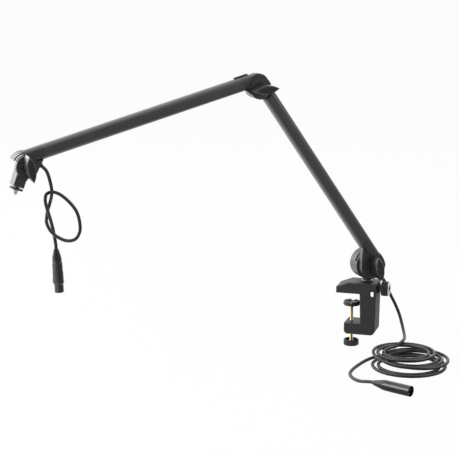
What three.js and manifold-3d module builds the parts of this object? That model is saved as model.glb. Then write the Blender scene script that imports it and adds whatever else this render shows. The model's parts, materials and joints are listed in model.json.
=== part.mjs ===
// Two-section desk microphone boom arm: table clamp, swivel base, folding arms with
// friction joints, tilting head with a threaded stud, and a built-in balanced lead.
// Millimetres, +Z up. The origin is on the underside of the clamp's upper jaw pad.
import * as THREE from 'three';
import { mergeVertices } from 'three/addons/utils/BufferGeometryUtils.js';
import Module from 'manifold-3d';

const wasm = await Module();
wasm.setup();

const radians = THREE.MathUtils.degToRad;
const smooth = THREE.MathUtils.smoothstep;
const mix = THREE.MathUtils.lerp;

// Clearances
const runningGap = 0.3;
const cutOverrun = 1;
const halfGap = runningGap / 2;

// Facet counts
const drumSides = 40;
const roundSides = 24;
const smallSides = 16;
const leadSides = 8;

// Arm tubes
const tubeSize = 24;
const tubeCorner = 8.5;
const tubeWall = 1.8;
const plugLength = 24;
const plugRoot = 6;
const barHalf = tubeSize / 2;

// Lead, the plane that it runs in beside the tubes' near wall, and half the width of its channels
const leadDiameter = 6;
const leadWallGap = 0.7;
const leadPlane = leadDiameter / 2 + leadWallGap + tubeWall - barHalf;
const channelHalf = leadDiameter / 2 + 0.9;

// Arms: lengths along the tubes from pivot to pivot, and the tubes' shift off the pivots
const lowerArmLength = 412;
const upperArmLength = 437;
const lowerTubeShift = 13.4;
const elbowTubeShift = 8.2;
const upperTubeShift = 14.6;
const jointPlaneShift = 12.5;

// Pose shown in the photograph
const armYaw = radians(38);
const lowerTilt = radians(34.5);
const upperDrop = radians(15.3);
const headLean = radians(19.5);

// Clamp casting
const clampWidth = 46;
const jawReach = 26;
const jawNoseHeight = 12.5;
const jawSlopeReach = 3;
const clampTop = 21.5;
const castingUnderside = 0.8;
const spineNear = 19;
const spineTaper = 2;
const spineFar = 50.5;
const spineLean = 1.5;
const throatHeight = 57;
const lowerJawReach = 10;
const lowerJawRound = 7;
const spineFootRound = 9;
const clampDepth = 78;
const castingBevel = 1.2;

// Slot in the clamp's front wall and the hollows behind it, open to the back
const windowNear = 39.3;
const windowWidth = 6.4;
const windowFoot = -4;
const windowHeight = 13.5;
const frontWall = 6;
const hollowNear = 24;
const hollowFar = 46.2;
const hollowTop = 5;
const hollowFoot = -26;
const lowerHollowTop = -31;
const lowerHollowFoot = -70;
const lowerHollowFar = 44.5;

// Upper jaw pad
const jawPadThickness = 2.5;
const jawPadLength = 34;
const jawPadWidth = 36;
const jawPadStart = -21;

// Neck: the vertical pin of the swivel base in the clamp
const neckOffset = 28.5;
const neckPinRadius = 6.2;
const neckPinFoot = 7;
const neckPinTop = 38;
const neckCollarRadius = 8;
const bushWall = 1.6;
const bushFlangeRadius = 11;
const bushFlangeThickness = 1.6;
const bushDepth = 5;
const thrustWasherRadius = 9.5;
const thrustWasherThickness = 1.2;

// Lock screw and lock knob
const lockHeight = 9.5;
const lockBossRadius = 9.5;
const lockBossRoot = 48;
const lockBossReach = 3;
const lockScrewRadius = 3;
const lockScrewDepth = 10;
const lockKnobRadius = 14;
const lockKnobInset = 3.5;
const lockKnobLength = 12.5;
const lockKnobFlutes = 18;
const lockKnobFluteRadius = 1.5;
const lockRingRadius = 12.4;
const lockRingBore = 7;
const lockRingThickness = 2;

// Clamp spindle, pressure pad and cup knob
const spindleRadius = 3;
const padRadius = 16;
const padTop = -18.5;
const padThickness = 8;
const padSocketDepth = 4.5;
const padGrooveWidth = 7;
const padGrooveDepth = 2.6;
const padRimTaper = 1.4;
const cupRadius = 14.5;
const cupBottom = -105;
const cupHeight = 11;
const cupWall = 2.4;
const cupFloor = 3;
const cupHubRadius = 5.6;
const cupFlutes = 24;
const cupFluteRadius = 0.9;

// Base joint; groove angles are measured from the outward direction, upwards
const drumFoot = 28;
const drumWall = 4;
const baseDrumRadius = 28.5;
const pivotHeight = drumFoot + baseDrumRadius;
const baseLeadRadius = baseDrumRadius - drumWall;
const baseDrumDepth = 29;
const baseFrontRadius = 24.5;
const frontRise = 0.5;
const baseFrontDepth = barHalf + frontRise;
const baseGrooveFloor = baseLeadRadius - leadDiameter / 2 - leadWallGap;
const baseGrooveStart = radians(16);
const baseGrooveEnd = radians(240);
const sleeveBeyondDrum = 21.5;
const baseSleeve = baseDrumRadius + sleeveBeyondDrum;
const drumRoom = 1.1;
const baseClearRadius = baseDrumRadius + drumRoom;
const baseWebAngle = radians(-44);
const baseWebReach = 42;
const baseWingTurn = radians(101);
const coverStart = radians(19);
const coverEnd = radians(48);
const coverThickness = 3;
const clipAngle = radians(187);
const clipRise = 3;
const clipDepth = 7;

// Elbow joint
const elbowDrumRadius = 20;
const elbowDrumRise = 2.85;
const elbowDrumDepth = barHalf + elbowDrumRise;
const elbowGrooveFloor = 16.2;
const elbowGrooveStart = radians(-62);
const elbowGrooveEnd = radians(118);
const elbowClearRadius = 23.8;
const elbowLowerSleeve = 27.5;
const elbowUpperSleeve = 30;
const elbowLeadClearRadius = 24;
const elbowLowerWebAngle = radians(-30);
const elbowLowerWebReach = 24;
const elbowUpperWebAngle = radians(-20);
const elbowUpperWebReach = 27;
const elbowWingTurn = radians(-10.3);
const crownX = 2;
const crownZ = 6.6;
const stripStart = 12;
const stripEnd = 37;
const stripNear = -9;
const stripFar = -1;
const stripRise = 1.7;
const stripTop = upperTubeShift + barHalf + stripRise;

// Head joint, bracket and stud
const headDrumRadius = 19.5;
const headDrumDepth = barHalf + frontRise;
const headSleeve = 34;
const headClearRadius = 13;
const headWebAngle = radians(-35);
const headWebReach = 30;
const headWingTurn = radians(84.2);
const hoodInner = 20.8;
const hoodOuter = 23.2;
const hoodStart = radians(43);
const hoodEnd = radians(116);
const hoodGapStart = radians(-20);
const hoodGapEnd = radians(110);
const bracketTopRadius = 10.3;
const bracketDepth = 29;
const hoodOverhang = 0.1;
const hoodDepth = bracketDepth + hoodOverhang;
const bracketStep = 1.4;
const bracketStepPlace = 23;
const bracketLength = 38;
const bracketBevel = 0.8;
const bracketDiscRadius = 8.5;
const studRadius = 4.76;
const studReach = 15;
const studDepth = 12;
const lockNutRadius = 12;
const lockNutThickness = 3;
const lockNutPlace = 41;
const lockNutNotches = 8;
const lockNutNotchRadius = 1.2;

// Shared joint hardware
const discRecess = 1.7;
const discThickness = 1.4;
const discRimShare = 0.82;
const boltRadius = 4;
const boltHeadRadius = 7;
const boltHeadDepth = 4.5;
const boltHeadSides = 6;
const knobWasherRadius = 9;
const knobWasherThickness = 1.5;

// Wing knobs
const wingSpan = 46;
const wingWidth = 15.5;
const wingDepth = 27;
const wingHubRadius = 10.5;
const wingHubDepth = 2.5;
const wingBevel = 1.6;
const insertRadius = 5.8;
const insertDepth = 10;

const floorHeight = -105;

// Channels for the lead in the castings: start and end along the arm, then bottom and top
const baseSleeveChannel = [10, 36, 10, 28];
const baseTubeChannel = [30, 76, lowerTubeShift - 4, lowerTubeShift + 5.2];
const elbowRearChannel = [-32, -6, 4.4, 22];
const elbowTailChannel = [-52, -28, elbowTubeShift - 4, elbowTubeShift + 5.4];
const elbowFrontChannel = [4, 46, 11.4, 28];
const elbowTubeChannel = [30, 62, upperTubeShift - 4.6, upperTubeShift + 5.4];
const headChannel = [-60, -9, 5, 23.2];

// Rubber gland where the lead leaves the head casting
const glandTurn = radians(125);
const glandX = -18;
const glandZ = 2.6;
const glandNeckRadius = 4.6;
const glandNeckStart = -4;
const glandNeckEnd = 4.4;
const glandRadius = 5.4;
const glandTipRadius = 4.1;
const glandEnd = 15;

// Three-pin audio plugs, measured along the plug from its cord end
const plugBodyRadius = 9.5;
const pinPlugLength = 75.4;
const plugInnerRadius = 8.5;
const plugBackRadius = 4.4;
const plugPinRadius = 1.2;
const plugPinCircle = 4.9;
const plugPlace = [94, -245, -95.5];
const plugAim = [0.926, -0.378, 0];
const plugSeam = 36.4;
const plugNeckEnd = 40;
const plugInsertEnd = 62;
const plugPinHoleEnd = 64;
const plugPinSides = 12;
const plugPinStart = 50;
const plugPinEnd = 71.5;
const socketPlugLength = 77;
const pinBootSwell = [[8.6, 20], [9.3, 25], [9.3, 36.4]];
const socketPlace = [-51, -10, -149.5];
const socketAim = [-4, 0, -77];
const socketBootSwell = [[7.9, 14], [8.6, 22], [8, 22.6], [8, 23.8], [9.1, 24.4], [9.1, 41]];
const socketSeam = 41;
const socketNeckEnd = 47;
const socketShoulder = 61;
const socketShoulderRise = 1.3;
const socketHoleStart = 62;
const socketInsertEnd = 76.4;
const socketInnerRadius = 7.1;
const socketFrontRadius = 8.2;
const latchStart = 50;
const latchEnd = 59;
const latchWidth = 6;
const latchFoot = 7.1;
const latchTop = 10.9;
const latchPocketFloor = 5.2;

// Coil of lead on the floor
const coilLayers = 3;
const coilTurnsPerLayer = 2;
const coilClimbTurns = 0.5;
const coilSteps = 24;
const coilSides = 6;
const coilStartAngle = radians(149.71);
const coilPitch = 10.48;
const coilLayerHeight = 9.49;
const coilInnerRadii = [51.36, 42.83, 37];
const coilCentres = [[128.18, -109.22], [136.52, -97.35], [119.96, -95.11]];
const tailSteps = 15;

// Finishes
const finishes = {
  casting: { color: 0x2b2c2d, roughness: 0.5, metalness: 0.1 },
  clamp: { color: 0x232425, roughness: 0.6, metalness: 0.1 },
  tube: { color: 0x3a3c3e, roughness: 0.35, metalness: 0.3 },
  plastic: { color: 0x262728, roughness: 0.45, metalness: 0 },
  rubber: { color: 0x1c1c1c, roughness: 0.85, metalness: 0 },
  steel: { color: 0xb9bbbd, roughness: 0.3, metalness: 1 },
  nickel: { color: 0xd6d5cf, roughness: 0.25, metalness: 1 },
  brass: { color: 0xb59a55, roughness: 0.3, metalness: 1 },
  friction: { color: 0x6e5a46, roughness: 0.8, metalness: 0 },
  jacket: { color: 0x2a2b2c, roughness: 0.6, metalness: 0 },
  gold: { color: 0xd8ad4e, roughness: 0.25, metalness: 1 },
};

// Geometry helpers

// Welds a closed geometry, drops its empty triangles and turns its faces outwards.
function bodyOf(geometry) {
  if (geometry.userData.welded) {
    return geometry;
  }
  const bare = geometry.clone();
  bare.deleteAttribute('normal');
  bare.deleteAttribute('uv');
  const welded = mergeVertices(bare);
  const place = welded.attributes.position;
  const corner = [new THREE.Vector3(), new THREE.Vector3(), new THREE.Vector3()];
  const triangles = [];
  let volume = 0;
  for (let i = 0; i < welded.index.count; i += 3) {
    const triple = [0, 1, 2].map((k) => welded.index.getX(i + k));
    const empty = triple[0] === triple[1] || triple[1] === triple[2] || triple[2] === triple[0];
    if (!empty) {
      triple.forEach((vertex, k) => corner[k].fromBufferAttribute(place, vertex));
      volume += corner[0].dot(corner[1].cross(corner[2]));
      triangles.push(triple);
    }
  }
  if (volume < 0) {
    triangles.forEach((triple) => triple.reverse());
  }
  welded.setIndex(triangles.flat());
  return welded;
}

function manifoldOf(geometry) {
  const body = bodyOf(geometry);
  const vertProperties = new Float32Array(body.attributes.position.array);
  const triVerts = new Uint32Array(body.index.array);
  return new wasm.Manifold(new wasm.Mesh({ numProp: 3, vertProperties, triVerts }));
}

function geometryOf(manifold) {
  const mesh = manifold.getMesh();
  const geometry = new THREE.BufferGeometry();
  geometry.setAttribute('position', new THREE.BufferAttribute(mesh.vertProperties, 3));
  geometry.setIndex(new THREE.BufferAttribute(mesh.triVerts, 1));
  geometry.userData.welded = true;
  return geometry;
}

function join(first, ...others) {
  return geometryOf(others.reduce((sum, next) => sum.add(manifoldOf(next)), manifoldOf(first)));
}

function cut(first, ...tools) {
  return geometryOf(tools.reduce((rest, tool) => rest.subtract(manifoldOf(tool)), manifoldOf(first)));
}

// Box between two corners.
function block(x0, x1, y0, y1, z0, z1) {
  const box = new THREE.BoxGeometry(x1 - x0, y1 - y0, z1 - z0);
  return box.translate((x0 + x1) / 2, (y0 + y1) / 2, (z0 + z1) / 2);
}

// Turned piece about Y from radius and height pairs; the profile closes on itself.
function turned(pairs, sides = roundSides) {
  const profile = pairs.map(([radius, height]) => new THREE.Vector2(radius, height));
  profile.push(profile[0].clone());
  return new THREE.LatheGeometry(profile, sides);
}

function rodAlongY(radius, y0, y1, sides = roundSides) {
  return turned([[0, y0], [radius, y0], [radius, y1], [0, y1]], sides);
}

function rodAlongX(radius, x0, x1, sides = roundSides) {
  return rodAlongY(radius, x0, x1, sides).rotateZ(-Math.PI / 2);
}

function rodAlongZ(radius, z0, z1, sides = roundSides) {
  return rodAlongY(radius, z0, z1, sides).rotateX(Math.PI / 2);
}

function washerAlongY(outer, inner, y0, y1, sides = roundSides) {
  return turned([[inner, y0], [outer, y0], [outer, y1], [inner, y1]], sides);
}

// Extrusion of an outline drawn in X and Z, between two Y planes.
function slabBetween(shape, y0, y1, bevel = 0) {
  const body = new THREE.ExtrudeGeometry(shape, {
    depth: y1 - y0 - 2 * bevel,
    bevelEnabled: bevel > 0,
    bevelThickness: bevel,
    bevelSize: bevel,
    bevelOffset: -bevel,
    bevelSegments: 1,
    curveSegments: 6,
  });
  return body.rotateX(Math.PI / 2).translate(0, y1 - bevel, 0);
}

// Part of a flat ring in X and Z.
function ringSector(outer, inner, start, end) {
  const sector = new THREE.Shape();
  sector.absarc(0, 0, outer, start, end, false);
  sector.absarc(0, 0, inner, end, start, true);
  return sector;
}

function roundedSquare(size, corner) {
  const half = size / 2;
  const turn = half - corner;
  const outline = new THREE.Shape();
  outline.absarc(turn, turn, corner, 0, Math.PI / 2, false);
  outline.absarc(-turn, turn, corner, Math.PI / 2, Math.PI, false);
  outline.absarc(-turn, -turn, corner, Math.PI, Math.PI * 1.5, false);
  outline.absarc(turn, -turn, corner, Math.PI * 1.5, Math.PI * 2, false);
  return outline;
}

// Square bar with round corners along X, centred at height z.
function squareBar(size, corner, x0, x1, z) {
  const body = new THREE.ExtrudeGeometry(roundedSquare(size, corner), {
    depth: x1 - x0,
    bevelEnabled: false,
    curveSegments: 5,
  });
  return body.rotateX(Math.PI / 2).rotateZ(Math.PI / 2).translate(x0, 0, z);
}

// Tube with flat ends along a smooth curve through points.
function leadAlong(points, radius = leadDiameter / 2, steps = 24, sides = leadSides) {
  const section = new THREE.Shape();
  for (let k = 0; k < sides; k += 1) {
    const angle = (k / sides) * Math.PI * 2;
    const corner = [radius * Math.cos(angle), radius * Math.sin(angle)];
    if (k === 0) {
      section.moveTo(...corner);
    } else {
      section.lineTo(...corner);
    }
  }
  section.closePath();
  const path = new THREE.CatmullRomCurve3(points.map((p) => new THREE.Vector3(...p)), false, 'centripetal');
  return new THREE.ExtrudeGeometry(section, { steps, extrudePath: path, bevelEnabled: false });
}

// Tube of rings on a list of points, with both ends closed, for the wound lead.
function woundTube(points, radius, sides) {
  const positions = [];
  const index = [];
  const side = new THREE.Vector3();
  const up = new THREE.Vector3(0, 0, 1);
  points.forEach((point, i) => {
    const before = points[Math.max(i - 1, 0)];
    const after = points[Math.min(i + 1, points.length - 1)];
    const along = after.clone().sub(before).normalize();
    side.crossVectors(along, up).normalize();
    const over = new THREE.Vector3().crossVectors(side, along);
    for (let k = 0; k < sides; k += 1) {
      const angle = (k / sides) * Math.PI * 2;
      const spoke = side.clone().multiplyScalar(Math.cos(angle)).addScaledVector(over, Math.sin(angle));
      positions.push(...point.clone().addScaledVector(spoke, radius).toArray());
    }
  });
  for (let i = 0; i < points.length - 1; i += 1) {
    for (let k = 0; k < sides; k += 1) {
      const next = (k + 1) % sides;
      const [a, b] = [i * sides + k, i * sides + next];
      const [c, d] = [a + sides, b + sides];
      index.push(a, b, d, a, d, c);
    }
  }
  for (let k = 1; k < sides - 1; k += 1) {
    const last = (points.length - 1) * sides;
    index.push(0, k + 1, k, last, last + k, last + k + 1);
  }
  const geometry = new THREE.BufferGeometry();
  geometry.setAttribute('position', new THREE.Float32BufferAttribute(positions, 3));
  geometry.setIndex(index);
  return geometry;
}

// Least distance between stretches of a cord that are further apart along it than `apart`.
function leastGap(points, diameter, apart) {
  let least = Infinity;
  const travel = [0];
  for (let i = 1; i < points.length; i += 1) {
    travel.push(travel[i - 1] + points[i].distanceTo(points[i - 1]));
  }
  for (let i = 0; i < points.length; i += 1) {
    for (let j = i + 1; j < points.length; j += 1) {
      if (travel[j] - travel[i] > apart) {
        least = Math.min(least, points[i].distanceTo(points[j]));
      }
    }
  }
  return least - diameter;
}

const boomArm = new THREE.Group();

function addPiece(parent, name, geometry, finish) {
  const mesh = new THREE.Mesh(bodyOf(geometry), new THREE.MeshStandardMaterial(finishes[finish]));
  mesh.name = name;
  parent.add(mesh);
}

// Turning groups, nested as the joints are. In each arm group +X runs from the arm's
// near pivot to its far one, +Y faces the knobs and +Z is the side that the tube is on.
function turningGroup(parent, place, axis, angle) {
  const group = new THREE.Group();
  group.position.set(...place);
  group.rotation[axis] = angle;
  parent.add(group);
  return group;
}

const lowerReach = Math.PI / 2 - lowerTilt;
const elbowFold = lowerReach + upperDrop;
const elbowRise = lowerTubeShift - elbowTubeShift;
const swivelGroup = turningGroup(boomArm, [neckOffset, 0, 0], 'z', Math.PI + armYaw);
const baseHinge = turningGroup(swivelGroup, [0, jointPlaneShift, pivotHeight], 'y', 0);
const lowerGroup = turningGroup(baseHinge, [0, 0, 0], 'y', -lowerReach);
const elbowHinge = turningGroup(lowerGroup, [lowerArmLength, 0, elbowRise], 'y', 0);
const upperGroup = turningGroup(elbowHinge, [0, 0, 0], 'y', elbowFold);
const headHinge = turningGroup(upperGroup, [upperArmLength, 0, 0], 'y', 0);
const headGroup = turningGroup(headHinge, [0, 0, 0], 'y', Math.PI / 2 - headLean - upperDrop);
const hangingGroup = turningGroup(headHinge, [0, 0, 0], 'y', -upperDrop);

// Clamp

const socketRadius = neckPinRadius + runningGap;
const bushRadius = socketRadius + bushWall;
const flangeTop = clampTop + runningGap + bushFlangeThickness;
const washerTop = flangeTop + runningGap + thrustWasherThickness;
const bossFar = spineFar + lockBossReach;
const halfWidth = clampWidth / 2;
const hollowFront = frontWall - halfWidth;

function clampOutline() {
  const roundX = lowerJawRound - lowerJawReach;
  const outline = new THREE.Shape();
  outline.moveTo(-jawReach, castingUnderside);
  outline.lineTo(-jawReach, jawNoseHeight);
  outline.lineTo(-jawSlopeReach, clampTop);
  outline.lineTo(spineFar, clampTop);
  outline.absarc(spineFar - spineLean - spineFootRound, spineFootRound - clampDepth, spineFootRound, 0, -Math.PI / 2,
    true);
  outline.lineTo(roundX, -clampDepth);
  outline.absarc(roundX, lowerJawRound - clampDepth, lowerJawRound, -Math.PI / 2, -Math.PI, true);
  outline.lineTo(-lowerJawReach, -throatHeight);
  outline.lineTo(spineNear + spineTaper, -throatHeight);
  outline.lineTo(spineNear, castingUnderside);
  outline.closePath();
  return outline;
}

function windowTool() {
  const end = windowWidth / 2;
  const slot = new THREE.Shape();
  slot.absarc(windowNear + end, windowFoot + windowHeight - end, end, 0, Math.PI, false);
  slot.absarc(windowNear + end, windowFoot + end, end, Math.PI, Math.PI * 2, false);
  return slabBetween(slot, -halfWidth - cutOverrun, hollowFront + cutOverrun);
}

function addClampFrame() {
  const casting = slabBetween(clampOutline(), -halfWidth, halfWidth, castingBevel);
  const boss = rodAlongX(lockBossRadius, lockBossRoot, bossFar).translate(0, 0, lockHeight);
  const back = halfWidth + cutOverrun;
  const padHalf = jawPadWidth / 2 + runningGap;
  const padFrom = jawPadStart - runningGap;
  const padTo = jawPadStart + jawPadLength + runningGap;
  const padSeat = block(padFrom, padTo, -padHalf, padHalf, -cutOverrun, jawPadThickness + runningGap);
  const socket = rodAlongZ(socketRadius, neckPinFoot - runningGap, clampTop + cutOverrun);
  const bushSeat = rodAlongZ(bushRadius + runningGap, clampTop - bushDepth - runningGap, clampTop + cutOverrun);
  const hollow = block(hollowNear, hollowFar, hollowFront, back, hollowFoot, hollowTop);
  const lowerHollow = block(hollowNear, lowerHollowFar, hollowFront, back, lowerHollowFoot, lowerHollowTop);
  const screwHole = rodAlongX(lockScrewRadius + runningGap, neckOffset, bossFar + cutOverrun);
  const spindleHole = rodAlongZ(spindleRadius + runningGap, -clampDepth - cutOverrun, cutOverrun - throatHeight);
  addPiece(boomArm, 'clamp_frame', cut(
    join(casting, boss),
    padSeat,
    socket.translate(neckOffset, 0, 0),
    bushSeat.translate(neckOffset, 0, 0),
    hollow,
    lowerHollow,
    windowTool(),
    screwHole.translate(0, 0, lockHeight),
    spindleHole,
  ), 'clamp');
}

function addJawPad() {
  const half = jawPadWidth / 2;
  const pad = block(jawPadStart, jawPadStart + jawPadLength, -half, half, 0, jawPadThickness);
  addPiece(boomArm, 'upper_jaw_pad', pad, 'rubber');
}

function addNeckBush() {
  const bush = turned([
    [socketRadius, clampTop - bushDepth],
    [bushRadius, clampTop - bushDepth],
    [bushRadius, clampTop + runningGap],
    [bushFlangeRadius, clampTop + runningGap],
    [bushFlangeRadius, flangeTop],
    [socketRadius, flangeTop],
  ]);
  addPiece(boomArm, 'neck_bush', bush.rotateX(Math.PI / 2).translate(neckOffset, 0, 0), 'plastic');
}

// Ring of flutes cut into a knob's rim, along Y.
function flutes(count, radius, rim, y0, y1) {
  const tools = [];
  for (let k = 0; k < count; k += 1) {
    const angle = (k / count) * Math.PI * 2;
    const flute = rodAlongY(radius, y0 - cutOverrun, y1 + cutOverrun, 6);
    tools.push(flute.translate(rim * Math.cos(angle), 0, rim * Math.sin(angle)));
  }
  return tools;
}

function addLockKnob() {
  const near = bossFar + lockKnobInset;
  const far = near + lockKnobLength;
  const toLockAxis = (geometry) => geometry.rotateZ(-Math.PI / 2).translate(0, 0, lockHeight);
  const screwStart = neckOffset + neckPinRadius + runningGap;
  const screwEnd = near + lockScrewDepth;
  const screw = rodAlongY(lockScrewRadius, screwStart, screwEnd, smallSides);
  const grip = turned([
    [0, far],
    [0, screwEnd + runningGap],
    [lockScrewRadius + runningGap, screwEnd + runningGap],
    [lockScrewRadius + runningGap, near],
    [lockKnobRadius - castingBevel, near],
    [lockKnobRadius, near + castingBevel],
    [lockKnobRadius, far - castingBevel],
    [lockKnobRadius - castingBevel, far],
  ], drumSides);
  const rim = lockKnobRadius + castingBevel / 2;
  const grooved = cut(grip, ...flutes(lockKnobFlutes, lockKnobFluteRadius, rim, near, far));
  const ringFace = far + runningGap;
  const ring = washerAlongY(lockRingRadius, lockRingBore, ringFace, ringFace + lockRingThickness);
  addPiece(boomArm, 'lock_screw', toLockAxis(screw), 'steel');
  addPiece(boomArm, 'lock_knob', toLockAxis(grooved), 'plastic');
  addPiece(boomArm, 'lock_knob_ring', toLockAxis(ring), 'nickel');
}

function addSpindle() {
  const foot = cupBottom + cupFloor / 2;
  const tip = padTop - padThickness + padSocketDepth;
  addPiece(boomArm, 'clamp_spindle', rodAlongZ(spindleRadius, foot, tip, smallSides), 'brass');
}

function addPressurePad() {
  const socket = spindleRadius + runningGap;
  const low = padTop - padThickness;
  const disc = turned([
    [0, padTop],
    [0, low + padSocketDepth + runningGap],
    [socket, low + padSocketDepth + runningGap],
    [socket, low],
    [padRadius - padRimTaper, low],
    [padRadius, low + padRimTaper],
    [padRadius, padTop - padRimTaper],
    [padRadius - padRimTaper, padTop],
  ], drumSides).rotateX(Math.PI / 2);
  const reach = padRadius + cutOverrun;
  const half = padGrooveWidth / 2;
  const grooveFloor = padTop - padGrooveDepth;
  const first = block(-reach, reach, -half, half, grooveFloor, padTop + cutOverrun);
  const second = block(-half, half, -reach, reach, grooveFloor, padTop + cutOverrun);
  addPiece(boomArm, 'pressure_pad', cut(disc, first, second), 'plastic');
}

function addClampKnob() {
  const top = cupBottom + cupHeight;
  const bore = spindleRadius + runningGap;
  const boreFloor = cupBottom + cupFloor / 2 - runningGap;
  const cup = turned([
    [0, boreFloor],
    [0, cupBottom],
    [cupRadius - castingBevel, cupBottom],
    [cupRadius, cupBottom + castingBevel],
    [cupRadius, top - castingBevel],
    [cupRadius - castingBevel, top],
    [cupRadius - cupWall, top - castingBevel],
    [cupRadius - cupWall, cupBottom + cupFloor],
    [cupHubRadius, cupBottom + cupFloor],
    [cupHubRadius, top - cupWall],
    [bore, top - cupWall],
    [bore, boreFloor],
  ], drumSides);
  const rim = cupRadius + cupFluteRadius / 2;
  const grooved = cut(cup, ...flutes(cupFlutes, cupFluteRadius, rim, cupBottom, top));
  addPiece(boomArm, 'clamp_knob', grooved.rotateX(Math.PI / 2), 'plastic');
}

// Joint hardware. In each hinge group the joint's axis is Y and its plane is Y = 0.

// Hexagon-headed pivot bolt, its head at the back and its thread in the wing knob.
function pivotBolt(back, knobFace) {
  const headTop = back + boltHeadDepth;
  const threadEnd = knobFace + insertDepth - cutOverrun;
  const head = rodAlongY(boltHeadRadius, back, headTop, boltHeadSides);
  const shank = rodAlongY(boltRadius, headTop - cutOverrun, threadEnd, smallSides);
  return join(head, shank);
}

// Lens-shaped wing on a round hub.
function wingKnob(face, turn) {
  const half = wingSpan / 2;
  const bow = wingWidth / 2;
  const arcRadius = (half * half + bow * bow) / (2 * bow);
  const arcAngle = Math.asin(half / arcRadius);
  const lens = new THREE.Shape();
  lens.absarc(0, bow - arcRadius, arcRadius, Math.PI / 2 - arcAngle, Math.PI / 2 + arcAngle, false);
  lens.absarc(0, arcRadius - bow, arcRadius, -Math.PI / 2 - arcAngle, arcAngle - Math.PI / 2, false);
  const wingFoot = face + wingHubDepth - cutOverrun;
  const wing = slabBetween(lens, wingFoot, face + wingHubDepth + wingDepth, wingBevel);
  const hub = rodAlongY(wingHubRadius, face, face + wingHubDepth);
  const bore = rodAlongY(insertRadius + runningGap, face - cutOverrun, face + insertDepth + runningGap);
  return cut(join(wing, hub), bore).rotateY(turn);
}

// Washer, threaded insert and wing knob in front of a joint; gives the knob's near face.
function addKnobSet(hinge, prefix, frontFace, turn) {
  const washerFace = frontFace + runningGap;
  const knobFace = washerFace + knobWasherThickness + runningGap;
  const bore = boltRadius + runningGap;
  const washer = washerAlongY(knobWasherRadius, bore, washerFace, washerFace + knobWasherThickness);
  const insert = washerAlongY(insertRadius, bore, knobFace, knobFace + insertDepth);
  addPiece(hinge, `${prefix}_knob_washer`, washer, 'steel');
  addPiece(hinge, `${prefix}_knob_insert`, insert, 'brass');
  addPiece(hinge, `${prefix}_wing_knob`, wingKnob(knobFace, turn), 'plastic');
  return knobFace;
}

// Friction disc and pivot bolt of a joint whose rear part starts at the plane `back`.
function addJointCore(hinge, prefix, discRadius, back, knobFace) {
  const face = -halfGap - discRecess;
  const bore = boltRadius + runningGap;
  const disc = washerAlongY(discRadius - runningGap, bore, face, face + discThickness, drumSides);
  addPiece(hinge, `${prefix}_friction_disc`, disc, 'friction');
  addPiece(hinge, `${prefix}_pivot_bolt`, pivotBolt(back, knobFace), 'steel');
}

// Cutting tools for a rear part that holds the bolt's head and the friction disc.
function rearTools(discRadius, back) {
  const headPocketTop = back + boltHeadDepth + runningGap;
  const discFloor = -halfGap - discRecess - runningGap;
  return [
    rodAlongY(boltRadius + runningGap, back - cutOverrun, cutOverrun),
    rodAlongY(boltHeadRadius + runningGap, back - cutOverrun, headPocketTop, boltHeadSides),
    rodAlongY(discRadius, discFloor, cutOverrun, drumSides),
  ];
}

function frontBore(depth) {
  return rodAlongY(boltRadius + runningGap, -cutOverrun, depth + cutOverrun);
}

// Lead groove around a joint's rear part, between two angles from +X towards +Z.
function grooveTool(outer, floor, start, end) {
  return slabBetween(ringSector(outer, floor, start, end), leadPlane - channelHalf, leadPlane + channelHalf);
}

function leadChannel(x0, x1, z0, z1) {
  return block(x0, x1, leadPlane - channelHalf, leadPlane + channelHalf, z0, z1);
}

// Arm castings and tubes

const squareBore = tubeSize - 2 * tubeWall;
const boreCorner = tubeCorner - tubeWall;

// Web from a drum's rim to the underside of the arm's bar; side is +1 or -1 along X.
function webSlab(side, radius, angle, reach, shift, y0, y1) {
  const low = shift - barHalf;
  const rim = [side * radius * Math.cos(angle), radius * Math.sin(angle)];
  const corners = [[0, 0], rim, [side * reach, low + cutOverrun], [0, radius / 3]];
  const outline = new THREE.Shape(corners.map(([x, z]) => new THREE.Vector2(x, z)));
  return slabBetween(outline, y0, y1);
}

// Full bar from a joint's axis to the tube's end, with the plug that fits in the tube.
function barWithPlug(side, sleeve, shift) {
  const order = (a, b) => [side * a, side * b].sort((first, second) => first - second);
  const bar = squareBar(tubeSize, tubeCorner, ...order(0, sleeve), shift);
  const plugSize = squareBore - 2 * runningGap;
  const plug = squareBar(plugSize, boreCorner - runningGap, ...order(sleeve - plugRoot, sleeve + plugLength), shift);
  return join(bar, plug);
}

function tube(x0, x1, z) {
  const outer = squareBar(tubeSize, tubeCorner, x0, x1, z);
  return cut(outer, squareBar(squareBore, boreCorner, x0 - cutOverrun, x1 + cutOverrun, z));
}

// Swivel base

const baseBack = -halfGap - baseDrumDepth;
const baseDiscRadius = baseDrumRadius * discRimShare;

function addBaseBracket() {
  const foot = washerTop + runningGap;
  const drum = rodAlongY(baseDrumRadius, baseBack, -halfGap, drumSides);
  const collar = rodAlongZ(neckCollarRadius, foot - pivotHeight, -baseDrumRadius / 2);
  const pinHole = rodAlongZ(socketRadius, foot - pivotHeight - cutOverrun, neckPinTop + runningGap - pivotHeight);
  const bracket = cut(
    join(drum, collar.translate(0, -jointPlaneShift, 0)),
    pinHole.translate(0, -jointPlaneShift, 0),
    grooveTool(baseDrumRadius + cutOverrun, baseGrooveFloor, baseGrooveStart, baseGrooveEnd),
    ...rearTools(baseDiscRadius, baseBack),
  );
  addPiece(baseHinge, 'base_bracket', bracket, 'casting');
}

function addBasePin() {
  addPiece(swivelGroup, 'base_pin', rodAlongZ(neckPinRadius, neckPinFoot, neckPinTop), 'steel');
  const washer = washerAlongY(thrustWasherRadius, socketRadius, flangeTop + runningGap, washerTop);
  addPiece(swivelGroup, 'thrust_washer', washer.rotateX(Math.PI / 2), 'steel');
}

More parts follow.
